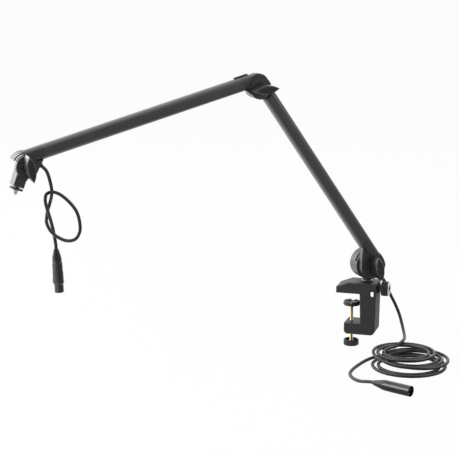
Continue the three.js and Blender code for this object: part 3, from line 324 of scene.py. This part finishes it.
def shader(name, colour, roughness, metallic=0.0, coat=0.0, specular=0.5):
    """A material with a Principled shader, and its node tree."""
    material = bpy.data.materials.new(name)
    material.use_nodes = True
    principled = material.node_tree.nodes["Principled BSDF"]
    principled.inputs["Base Color"].default_value = (*colour, 1)
    principled.inputs["Roughness"].default_value = roughness
    principled.inputs["Metallic"].default_value = metallic
    principled.inputs["Coat Weight"].default_value = coat
    principled.inputs["Coat Roughness"].default_value = COAT_ROUGHNESS
    principled.inputs["Specular IOR Level"].default_value = specular
    return material, principled


def noise(tree, scale, detail):
    """Noise on object coordinates."""
    place = tree.nodes.new("ShaderNodeTexCoord")
    texture = tree.nodes.new("ShaderNodeTexNoise")
    texture.inputs["Scale"].default_value = scale
    texture.inputs["Detail"].default_value = detail
    tree.links.new(place.outputs["Object"], texture.inputs["Vector"])
    return texture.outputs["Fac"]


def shift_colour(tree, principled, source, colour, amount):
    """Lightens and darkens the colour a little with a texture."""
    ramp = tree.nodes.new("ShaderNodeValToRGB")
    ramp.color_ramp.elements[0].position = TONE_SPAN[0]
    ramp.color_ramp.elements[1].position = TONE_SPAN[1]
    ramp.color_ramp.elements[0].color = (*[c * (1 - amount) for c in colour], 1)
    ramp.color_ramp.elements[1].color = (*[c * (1 + amount) for c in colour], 1)
    tree.links.new(source, ramp.inputs["Fac"])
    tree.links.new(ramp.outputs["Color"], principled.inputs["Base Color"])


def shift_roughness(tree, principled, source, roughness, reach):
    """Spreads the roughness below and above its value with a texture."""
    spread = tree.nodes.new("ShaderNodeMapRange")
    spread.inputs["To Min"].default_value = roughness - reach[0]
    spread.inputs["To Max"].default_value = roughness + reach[1]
    tree.links.new(source, spread.inputs["Value"])
    tree.links.new(spread.outputs["Result"], principled.inputs["Roughness"])


def raise_grain(tree, principled, source, depth, strength):
    """Bumps the surface with a texture."""
    bump = tree.nodes.new("ShaderNodeBump")
    bump.inputs["Distance"].default_value = depth
    bump.inputs["Strength"].default_value = strength
    tree.links.new(source, bump.inputs["Height"])
    tree.links.new(bump.outputs["Normal"], principled.inputs["Normal"])


def grained(name, colour, roughness, grain, depth, strength, coat=0.0, tone=0.12, specular=0.5):
    """Paint or moulded plastic: a fine grain over slow changes of tone and gloss."""
    material, principled = shader(name, colour, roughness, coat=coat, specular=specular)
    tree = material.node_tree
    shift_colour(tree, principled, noise(tree, TONE_SCALE, detail=3), colour, tone)
    shift_roughness(tree, principled, noise(tree, GLOSS_SCALE, detail=5), roughness, GLOSS_SPREAD)
    raise_grain(tree, principled, noise(tree, grain, detail=3), depth, strength)
    return material


def turned_metal(name, colour, roughness):
    """Bright metal with fine tool marks."""
    material, principled = shader(name, colour, roughness, metallic=1.0)
    tree = material.node_tree
    shift_colour(tree, principled, noise(tree, METAL_TONE_SCALE, detail=5), colour, METAL_TONE_SHIFT)
    shift_roughness(tree, principled, noise(tree, METAL_GLOSS_SCALE, detail=3), roughness, METAL_GLOSS_SPREAD)
    marks = noise(tree, METAL_MARK_SCALE, detail=2)
    raise_grain(tree, principled, marks, METAL_MARK_DEPTH, METAL_MARK_STRENGTH)
    return material


def make_materials(colours):
    """Every finish of the arm, by its name."""
    return {
        "casting": grained(
            "satin_casting_paint", colours.casting, roughness=0.40, grain=1400, depth=0.00004, strength=0.25,
            specular=0.8,
        ),
        "clamp": grained(
            "powder_coat", colours.clamp, roughness=0.52, grain=900, depth=0.00012, strength=0.55,
        ),
        "tube": grained(
            "coated_tube", colours.tube, roughness=0.38, grain=2400, depth=0.00002, strength=0.12,
            tone=0.05, specular=0.95,
        ),
        "plastic": grained(
            "moulded_plastic", colours.plastic, roughness=0.42, grain=1800, depth=0.00004, strength=0.3,
        ),
        "gloss": grained(
            "smooth_plastic", colours.plastic, roughness=0.24, grain=700, depth=0.00003, strength=0.15,
            coat=0.3,
        ),
        "rubber": grained(
            "soft_rubber", colours.rubber, roughness=0.75, grain=1600, depth=0.00006, strength=0.5,
            specular=0.3,
        ),
        "jacket": grained(
            "lead_jacket", colours.jacket, roughness=0.42, grain=1500, depth=0.00002, strength=0.15,
            tone=0.05,
        ),
        "lining": grained(
            "friction_lining", colours.lining, roughness=0.8, grain=1200, depth=0.0001, strength=0.6,
        ),
        "steel": turned_metal("turned_steel", colours.steel, roughness=0.3),
        "nickel": turned_metal("nickel_plate", colours.nickel, roughness=0.27),
        "brass": turned_metal("turned_brass", colours.brass, roughness=0.28),
        "stud": turned_metal("plated_brass", colours.stud, roughness=0.26),
        "gold": turned_metal("gold_plate", colours.gold, roughness=0.22),
    }


# Nodes of each finish, and the nodes that move with each plug
CASTINGS = (
    "base_bracket", "lower_base_casting", "lower_elbow_casting", "upper_elbow_casting", "upper_head_casting",
    "head_bracket",
)
TUBES = ("lower_tube", "upper_tube")
KNOBS = ("base_wing_knob", "elbow_wing_knob", "head_wing_knob")
PLASTIC_TRIM = (
    "neck_bush", "lead_clip", "pressure_pad", "clamp_knob", "lock_knob", "male_insert", "female_insert",
)
RUBBER_TRIM = ("upper_jaw_pad", "groove_cover", "elbow_groove_cover", "head_gland")
STEEL_TRIM = (
    "base_pin", "thrust_washer", "lock_screw", "base_pivot_bolt", "elbow_pivot_bolt", "head_pivot_bolt",
    "base_knob_washer", "elbow_knob_washer", "head_knob_washer", "latch_button",
)
NICKEL_TRIM = ("lock_knob_ring",)
PAINTED_TRIM = ("stud_lock_ring",)
BRASS_TRIM = ("base_knob_insert", "elbow_knob_insert", "head_knob_insert")
LININGS = ("base_friction_disc", "elbow_friction_disc", "head_friction_disc")
PLUG_SHELLS = ("male_boot", "male_shell", "female_boot", "female_shell")
CONTACTS = ("male_pin_1", "male_pin_2", "male_pin_3")
FIXED_LEADS = ("lower_lead", "upper_lead", "head_bridge_lead", "base_bridge_lead", "elbow_bridge_lead")
MATERIALS = {}


def choose(piece):
    """Selects one object alone."""
    bpy.ops.object.select_all(action="DESELECT")
    piece.select_set(True)
    bpy.context.view_layer.objects.active = piece


def paint(piece, material):
    """Gives the piece one material."""
    piece.data.materials.clear()
    piece.data.materials.append(material)


def welded_copy(node, name):
    """A copy of a node's solid with its triangles joined and flat faces made whole."""
    source = NODES[node]
    piece = bpy.data.objects.new(name, source.data.copy())
    bpy.context.scene.collection.objects.link(piece)
    choose(piece)
    bpy.ops.object.mode_set(mode="EDIT")
    bpy.ops.mesh.select_all(action="SELECT")
    bpy.ops.mesh.remove_doubles(threshold=WELD_GAP)
    bpy.ops.mesh.dissolve_limited(angle_limit=math.radians(FLAT_ANGLE))
    bpy.ops.object.mode_set(mode="OBJECT")
    return piece


def apply(piece, name, kind, **settings):
    """Adds a modifier with these settings and applies it."""
    modifier = piece.modifiers.new(name, kind)
    for key, value in settings.items():
        setattr(modifier, key, value)
    choose(piece)
    bpy.ops.object.modifier_apply(modifier=modifier.name)


def soften(piece, radius, segments=3):
    """Rounds the sharp edges and smooths the rest."""
    apply(
        piece, "edges", "BEVEL", width=radius, segments=segments, limit_method="ANGLE",
        angle_limit=math.radians(BEVEL_ANGLE), use_clamp_overlap=True, miter_outer="MITER_ARC",
    )
    choose(piece)
    bpy.ops.object.shade_smooth_by_angle(angle=math.radians(CASTING_SMOOTH))
    apply(piece, "shading", "WEIGHTED_NORMAL", keep_sharp=True, weight=FACE_WEIGHT)


def hand_over(piece, node, material):
    """The finished piece takes the node's place and body, painted with the given material."""
    paint(piece, material)
    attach(piece, NODES[node]["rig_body"])
    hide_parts(node)
    return piece


def finish_nodes(nodes, material, radius, segments=3):
    """Finishes a group of like nodes."""
    for node in nodes:
        piece = welded_copy(node, f"{node}_finished")
        soften(piece, radius, segments)
        hand_over(piece, node, material)


def threaded_rod(name, foot, tip, radius, pitch, depth):
    """A rod with a thread of plain ridges from foot to tip."""
    length = (tip - foot).length
    turns = int(length / pitch)
    start = (length - turns * pitch) / 2
    root = (radius - depth) / radius
    bpy.ops.object.select_all(action="DESELECT")
    bpy.ops.mesh.primitive_circle_add(
        vertices=THREAD_SIDES, radius=radius, fill_type="NGON", location=(0, 0, 0),
    )
    rod = bpy.context.active_object
    rod.name = name
    bpy.ops.object.mode_set(mode="EDIT")
    bpy.ops.mesh.select_all(action="SELECT")
    bpy.ops.transform.resize(value=(root, root, 1))
    bpy.ops.mesh.extrude_region_move(TRANSFORM_OT_translate={"value": (0, 0, start)})
    for _ in range(turns):
        bpy.ops.mesh.extrude_region_move(TRANSFORM_OT_translate={"value": (0, 0, pitch * 0.5)})
        bpy.ops.transform.resize(value=(1 / root, 1 / root, 1))
        bpy.ops.mesh.extrude_region_move(TRANSFORM_OT_translate={"value": (0, 0, pitch * 0.5)})
        bpy.ops.transform.resize(value=(root, root, 1))
    bpy.ops.mesh.extrude_region_move(TRANSFORM_OT_translate={"value": (0, 0, start)})
    bpy.ops.mesh.select_all(action="SELECT")
    bpy.ops.mesh.normals_make_consistent(inside=False)
    bpy.ops.object.mode_set(mode="OBJECT")
    turn = (tip - foot).to_track_quat("Z", "Y").to_matrix().to_4x4()
    rod.data.transform(Matrix.Translation(foot) @ turn)
    rod.matrix_world = Matrix.Identity(4)
    choose(rod)
    bpy.ops.object.shade_smooth_by_angle(angle=math.radians(THREAD_SMOOTH))
    return rod


# Cords


def spline_points(points):
    """Centripetal Catmull-Rom curve through the points, as closely spaced points."""
    points = [Vector(point) for point in points]
    ends = [points[0] * 2 - points[1], *points, points[-1] * 2 - points[-2]]
    placed = []
    for before, start, end, after in zip(ends, ends[1:], ends[2:], ends[3:]):
        knots = [0.0]
        for a, b in ((before, start), (start, end), (end, after)):
            knots.append(knots[-1] + math.sqrt((b - a).length))
        count = max(2, round((end - start).length / ROUTE_STEP))
        for k in range(count):
            t = knots[1] + (knots[2] - knots[1]) * k / count
            first = [
                pair[0].lerp(pair[1], (t - knots[i]) / (knots[i + 1] - knots[i]))
                for i, pair in enumerate(((before, start), (start, end), (end, after)))
            ]
            second = [
                first[i].lerp(first[i + 1], (t - knots[i]) / (knots[i + 2] - knots[i])) for i in range(2)
            ]
            placed.append(second[0].lerp(second[1], (t - knots[1]) / (knots[2] - knots[1])))
    placed.append(points[-1])
    return placed


def coil_points(steps):
    """The coil from its outer end on the floor to its inner end on top."""
    span = COIL_TURNS + COIL_CLIMB
    total = COIL_LAYERS * span - COIL_CLIMB
    points = []
    for step in range(int(total * steps) + 1):
        turn = step / steps
        layer = min(int(turn / span), COIL_LAYERS - 1)
        above = min(layer + 1, COIL_LAYERS - 1)
        into = turn - layer * span
        share = min(max((into - COIL_TURNS) / COIL_CLIMB, 0), 1) if above > layer else 0
        climb = share * share * (3 - 2 * share)
        wound = min(into, COIL_TURNS)
        inward = COIL_TURNS - wound if layer % 2 == 0 else wound
        inner = COIL_INNER_RADII[layer] + (COIL_INNER_RADII[above] - COIL_INNER_RADII[layer]) * climb
        radius = inner + COIL_PITCH * inward
        centre = Vector(COIL_CENTRES[layer]).lerp(Vector(COIL_CENTRES[above]), climb)
        angle = COIL_START - turn * math.tau
        height = FLOOR_HEIGHT + LEAD_RADIUS + COIL_LAYER_HEIGHT * (layer + climb)
        points.append(
            Vector((centre.x + radius * math.cos(angle), centre.y + radius * math.sin(angle), height))
        )
    return points


def lead_mesh(name, points, diameter):
    """A round lead along the points, as a mesh."""
    data = bpy.data.curves.new(name, "CURVE")
    data.dimensions = "3D"
    data.bevel_depth = diameter / 2
    data.bevel_resolution = SECTION_FINENESS
    data.use_fill_caps = True
    spline = data.splines.new("POLY")
    spline.points.add(len(points) - 1)
    for place, point in zip(spline.points, points):
        place.co = (*point, 1)
    piece = bpy.data.objects.new(name, data)
    bpy.context.scene.collection.objects.link(piece)
    choose(piece)
    bpy.ops.object.convert(target="MESH")
    piece = bpy.context.active_object
    choose(piece)
    bpy.ops.object.mode_set(mode="EDIT")
    bpy.ops.mesh.select_all(action="SELECT")
    bpy.ops.mesh.remove_doubles(threshold=CORD_WELD_GAP)
    bpy.ops.mesh.normals_make_consistent(inside=False)
    bpy.ops.object.mode_set(mode="OBJECT")
    bpy.ops.object.shade_smooth_by_angle(angle=math.radians(CORD_SMOOTH))
    return piece


# Operators


class BOOMARM_OT_materials(bpy.types.Operator):
    """Make the finishes"""

    bl_idname = "boomarm.materials"
    bl_label = "Finishes"

    def execute(self, context):
        MATERIALS.update(make_materials(context.scene.boom_arm_colours))
        return {"FINISHED"}


class BOOMARM_OT_camera(bpy.types.Operator):
    """Place the camera at the photographed angle"""

    bl_idname = "boomarm.camera"
    bl_label = "Camera"

    def execute(self, context):
        settings = context.scene.boom_arm_stage
        data = bpy.data.cameras.new("camera")
        data.sensor_width = SENSOR_WIDTH
        data.lens = settings.focal_length
        data.clip_start = CLIP_START
        data.clip_end = CLIP_END
        camera = bpy.data.objects.new("camera", data)
        context.scene.collection.objects.link(camera)
        camera.location = settings.camera_place
        camera.rotation_euler = Vector(settings.camera_aim).to_track_quat("-Z", "Y").to_euler()
        context.scene.camera = camera
        return {"FINISHED"}


class BOOMARM_OT_desk_lead(bpy.types.Operator):
    """Lay the free lead from the base, through the coil, to its plug"""

    bl_idname = "boomarm.desk_lead"
    bl_label = "Desk lead"

    def execute(self, context):
        sizes = context.scene.boom_arm_sizes
        coil = coil_points(sizes.coil_steps)
        base = spline_points(BASE_LEAD_ROUTE)
        tail = spline_points([*TAIL_ROUTE, coil[0]])
        points = [*base, *reversed(coil[:-1]), *reversed(tail[:-1])]
        piece = lead_mesh("desk_lead", points, sizes.lead_diameter)
        paint(piece, MATERIALS["jacket"])
        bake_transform(piece)
        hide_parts("base_lead", "lead_coil")
        return {"FINISHED"}


class BOOMARM_OT_head_lead(bpy.types.Operator):
    """Hang the looped lead at the head"""

    bl_idname = "boomarm.head_lead"
    bl_label = "Head lead"

    def execute(self, context):
        sizes = context.scene.boom_arm_sizes
        placed = [HEAD_PIVOT + OUTWARD * x + KNOB_SIDE * y + UP * z for x, y, z in HEAD_LEAD_ROUTE]
        points = spline_points(placed)
        piece = lead_mesh("hanging_lead", points, sizes.lead_diameter)
        paint(piece, MATERIALS["jacket"])
        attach(piece, "upper_arm")
        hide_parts("head_lead")
        return {"FINISHED"}


class BOOMARM_OT_fixed_leads(bpy.types.Operator):
    """Finish the lead in the tubes and over the joints"""

    bl_idname = "boomarm.fixed_leads"
    bl_label = "Leads in the arm"

    def execute(self, context):
        for node in FIXED_LEADS:
            piece = welded_copy(node, f"{node}_finished")
            choose(piece)
            bpy.ops.object.shade_smooth_by_angle(angle=math.radians(FIXED_LEAD_SMOOTH))
            paint(piece, MATERIALS["jacket"])
            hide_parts(node)
            if node == "base_bridge_lead":
                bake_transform(piece)
            elif node == "elbow_bridge_lead":
                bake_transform(piece)
            else:
                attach(piece, NODES[node]["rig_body"])
        return {"FINISHED"}


class BOOMARM_OT_clamp(bpy.types.Operator):
    """Finish the clamp casting"""

    bl_idname = "boomarm.clamp"
    bl_label = "Clamp"

    def execute(self, context):
        sizes = context.scene.boom_arm_sizes
        finish_nodes(["clamp_frame"], MATERIALS["clamp"], sizes.casting_round)
        return {"FINISHED"}


class BOOMARM_OT_castings(bpy.types.Operator):
    """Finish the joint castings"""

    bl_idname = "boomarm.castings"
    bl_label = "Joint castings"

    def execute(self, context):
        sizes = context.scene.boom_arm_sizes
        finish_nodes(CASTINGS, MATERIALS["casting"], sizes.casting_round)
        return {"FINISHED"}


class BOOMARM_OT_tubes(bpy.types.Operator):
    """Finish the arm tubes"""

    bl_idname = "boomarm.tubes"
    bl_label = "Arm tubes"

    def execute(self, context):
        sizes = context.scene.boom_arm_sizes
        finish_nodes(TUBES, MATERIALS["tube"], sizes.trim_round)
        return {"FINISHED"}


class BOOMARM_OT_knobs(bpy.types.Operator):
    """Finish the wing knobs"""

    bl_idname = "boomarm.knobs"
    bl_label = "Wing knobs"

    def execute(self, context):
        sizes = context.scene.boom_arm_sizes
        finish_nodes(KNOBS, MATERIALS["gloss"], sizes.knob_round, segments=4)
        return {"FINISHED"}


class BOOMARM_OT_trim(bpy.types.Operator):
    """Finish the small moulded, rubber and metal pieces"""

    bl_idname = "boomarm.trim"
    bl_label = "Small pieces"

    def execute(self, context):
        sizes = context.scene.boom_arm_sizes
        finish_nodes(PLASTIC_TRIM, MATERIALS["plastic"], sizes.trim_round, segments=2)
        finish_nodes(RUBBER_TRIM, MATERIALS["rubber"], sizes.trim_round, segments=2)
        finish_nodes(STEEL_TRIM, MATERIALS["steel"], sizes.trim_round, segments=2)
        finish_nodes(NICKEL_TRIM, MATERIALS["nickel"], sizes.trim_round, segments=2)
        finish_nodes(PAINTED_TRIM, MATERIALS["casting"], sizes.trim_round, segments=2)
        finish_nodes(BRASS_TRIM, MATERIALS["brass"], sizes.trim_round, segments=2)
        finish_nodes(LININGS, MATERIALS["lining"], sizes.trim_round, segments=2)
        return {"FINISHED"}


class BOOMARM_OT_plugs(bpy.types.Operator):
    """Finish the plugs and their contacts"""

    bl_idname = "boomarm.plugs"
    bl_label = "Plugs"

    def execute(self, context):
        sizes = context.scene.boom_arm_sizes
        finish_nodes(PLUG_SHELLS, MATERIALS["gloss"], sizes.trim_round)
        finish_nodes(CONTACTS, MATERIALS["gold"], sizes.trim_round)
        return {"FINISHED"}


class BOOMARM_OT_spindle(bpy.types.Operator):
    """Thread the clamp's spindle"""

    bl_idname = "boomarm.spindle"
    bl_label = "Clamp spindle"

    def execute(self, context):
        sizes = context.scene.boom_arm_sizes
        low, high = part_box("clamp_spindle")
        middle = (low + high) / 2
        foot = Vector((middle.x, middle.y, low.z))
        tip = Vector((middle.x, middle.y, high.z))
        radius = (high.x - low.x) / 2
        rod = threaded_rod("threaded_spindle", foot, tip, radius, sizes.spindle_pitch, SPINDLE_THREAD_DEPTH)
        hand_over(rod, "clamp_spindle", MATERIALS["brass"])
        return {"FINISHED"}


class BOOMARM_OT_stud(bpy.types.Operator):
    """Thread the microphone stud"""

    bl_idname = "boomarm.stud"
    bl_label = "Microphone stud"

    def execute(self, context):
        sizes = context.scene.boom_arm_sizes
        along = [(vertex.co - STUD_PLACE).dot(STUD_AXIS) for vertex in NODES["mic_stud"].data.vertices]
        foot = STUD_PLACE + STUD_AXIS * min(along)
        tip = STUD_PLACE + STUD_AXIS * max(along)
        rod = threaded_rod("threaded_stud", foot, tip, STUD_RADIUS, sizes.stud_pitch, STUD_THREAD_DEPTH)
        hand_over(rod, "mic_stud", MATERIALS["stud"])
        return {"FINISHED"}


class BOOMARM_OT_stage(bpy.types.Operator):
    """Set the floor, the backdrop and the lamps"""

    bl_idname = "boomarm.stage"
    bl_label = "Stage"

    def execute(self, context):
        settings = context.scene.boom_arm_stage
        bpy.ops.object.select_all(action="DESELECT")
        bpy.ops.mesh.primitive_plane_add(size=FLOOR_SIZE, location=(0, 0, FLOOR_HEIGHT - FLOOR_SINK))
        floor = context.active_object
        floor.name = "floor"
        paint(floor, floor_material())
        light_room(context.scene, settings.room_light)
        add_lamp(context, "key_lamp", *KEY_LAMP, settings.key_power)
        add_lamp(context, "side_lamp", *SIDE_LAMP, settings.side_power)
        add_lamp(context, "left_lamp", *LEFT_LAMP, settings.left_power)
        context.scene.view_settings.view_transform = "Standard"
        return {"FINISHED"}


def mix(tree, share, first, second):
    """Goes from the first shader to the second with the share."""
    mixed = tree.nodes.new("ShaderNodeMixShader")
    tree.links.new(share, mixed.inputs["Fac"])
    tree.links.new(first, mixed.inputs[1])
    tree.links.new(second, mixed.inputs[2])
    return mixed.outputs["Shader"]


def gradient(tree, source, light):
    """Strength of light that changes along a direction."""
    direction, reach, strengths = light
    along = tree.nodes.new("ShaderNodeVectorMath")
    along.operation = "DOT_PRODUCT"
    along.inputs[1].default_value = direction
    spread = tree.nodes.new("ShaderNodeMapRange")
    spread.interpolation_type = "SMOOTHSTEP"
    spread.inputs["From Min"].default_value = reach[0]
    spread.inputs["From Max"].default_value = reach[1]
    spread.inputs["To Min"].default_value = strengths[0]
    spread.inputs["To Max"].default_value = strengths[1]
    tree.links.new(source, along.inputs[0])
    tree.links.new(along.outputs["Value"], spread.inputs["Value"])
    return spread.outputs["Result"]


def floor_material():
    """Floor that the camera sees the white room through, bright on its left in reflections."""
    material, principled = shader("white_floor", FLOOR_COLOUR, FLOOR_ROUGHNESS)
    tree = material.node_tree
    ray = tree.nodes.new("ShaderNodeLightPath")
    place = tree.nodes.new("ShaderNodeTexCoord")
    glow = tree.nodes.new("ShaderNodeEmission")
    tree.links.new(gradient(tree, place.outputs["Object"], FLOOR_LIGHT), glow.inputs["Strength"])
    clear = tree.nodes.new("ShaderNodeBsdfTransparent")
    share = tree.nodes.new("ShaderNodeMath")
    share.operation = "MULTIPLY"
    share.inputs[1].default_value = FLOOR_CLEARNESS
    tree.links.new(ray.outputs["Is Camera Ray"], share.inputs[0])
    mirrored = mix(tree, ray.outputs["Is Glossy Ray"], principled.outputs["BSDF"], glow.outputs["Emission"])
    seen = mix(tree, share.outputs["Value"], mirrored, clear.outputs["BSDF"])
    tree.links.new(seen, tree.nodes["Material Output"].inputs["Surface"])
    return material


def light_room(scene, strength):
    """Even light all round, white to the eye, and brighter at the back left in reflections."""
    world = bpy.data.worlds.new("room")
    scene.world = world
    world.use_nodes = True
    tree = world.node_tree
    even = tree.nodes["Background"]
    even.inputs["Color"].default_value = WHITE
    even.inputs["Strength"].default_value = strength
    white = tree.nodes.new("ShaderNodeBackground")
    white.inputs["Color"].default_value = WHITE
    room = tree.nodes.new("ShaderNodeBackground")
    room.inputs["Color"].default_value = WHITE
    direction = tree.nodes.new("ShaderNodeTexCoord")
    tree.links.new(gradient(tree, direction.outputs["Generated"], ROOM_LIGHT), room.inputs["Strength"])
    ray = tree.nodes.new("ShaderNodeLightPath")
    mirrored = tree.nodes.new("ShaderNodeMath")
    mirrored.operation = "MAXIMUM"
    tree.links.new(ray.outputs["Is Glossy Ray"], mirrored.inputs[0])
    tree.links.new(ray.outputs["Is Transmission Ray"], mirrored.inputs[1])
    lit = mix(tree, mirrored.outputs["Value"], even.outputs["Background"], room.outputs["Background"])
    seen = mix(tree, ray.outputs["Is Camera Ray"], lit, white.outputs["Background"])
    tree.links.new(seen, tree.nodes["World Output"].inputs["Surface"])


def add_lamp(context, name, place, size, power):
    """A square lamp that faces the arm."""
    data = bpy.data.lights.new(name, "AREA")
    data.size = size
    data.energy = power
    lamp = bpy.data.objects.new(name, data)
    context.scene.collection.objects.link(lamp)
    lamp.location = place
    centre = (CAD_BOX[0] + CAD_BOX[1]) / 2
    lamp.rotation_euler = (centre - Vector(place)).to_track_quat("-Z", "Y").to_euler()


OPERATORS = (
    BOOMARM_OT_materials, BOOMARM_OT_camera, BOOMARM_OT_clamp, BOOMARM_OT_castings, BOOMARM_OT_tubes,
    BOOMARM_OT_knobs, BOOMARM_OT_trim, BOOMARM_OT_plugs, BOOMARM_OT_spindle, BOOMARM_OT_stud,
    BOOMARM_OT_fixed_leads, BOOMARM_OT_desk_lead, BOOMARM_OT_head_lead, BOOMARM_OT_stage,
)


class BOOMARM_PT_panel(bpy.types.Panel):
    """Lists the pieces of the arm"""

    bl_idname = "BOOMARM_PT_panel"
    bl_label = "Boom arm"
    bl_space_type = "VIEW_3D"
    bl_region_type = "UI"
    bl_category = "Boom arm"

    def draw(self, context):
        for operator in OPERATORS:
            self.layout.operator(operator.bl_idname)


CLASSES = (BoomArmSizes, BoomArmColours, BoomArmStage, *OPERATORS, BOOMARM_PT_panel)


def register():
    """Registers the classes and their settings on the scene."""
    for cls in CLASSES:
        bpy.utils.register_class(cls)
    bpy.types.Scene.boom_arm_sizes = PointerProperty(type=BoomArmSizes)
    bpy.types.Scene.boom_arm_colours = PointerProperty(type=BoomArmColours)
    bpy.types.Scene.boom_arm_stage = PointerProperty(type=BoomArmStage)


def unregister():
    """Takes the settings and the classes away again."""
    del bpy.types.Scene.boom_arm_stage
    del bpy.types.Scene.boom_arm_colours
    del bpy.types.Scene.boom_arm_sizes
    for cls in reversed(CLASSES):
        bpy.utils.unregister_class(cls)


def main():
    register()
    bpy.ops.boomarm.materials()
    bpy.ops.boomarm.camera()
    bpy.ops.boomarm.clamp()
    bpy.ops.boomarm.castings()
    bpy.ops.boomarm.tubes()
    bpy.ops.boomarm.knobs()
    bpy.ops.boomarm.trim()
    bpy.ops.boomarm.plugs()
    bpy.ops.boomarm.spindle()
    bpy.ops.boomarm.stud()
    bpy.ops.boomarm.fixed_leads()
    bpy.ops.boomarm.desk_lead()
    bpy.ops.boomarm.head_lead()
    bpy.ops.boomarm.stage()


if __name__ == "__main__":
    main()
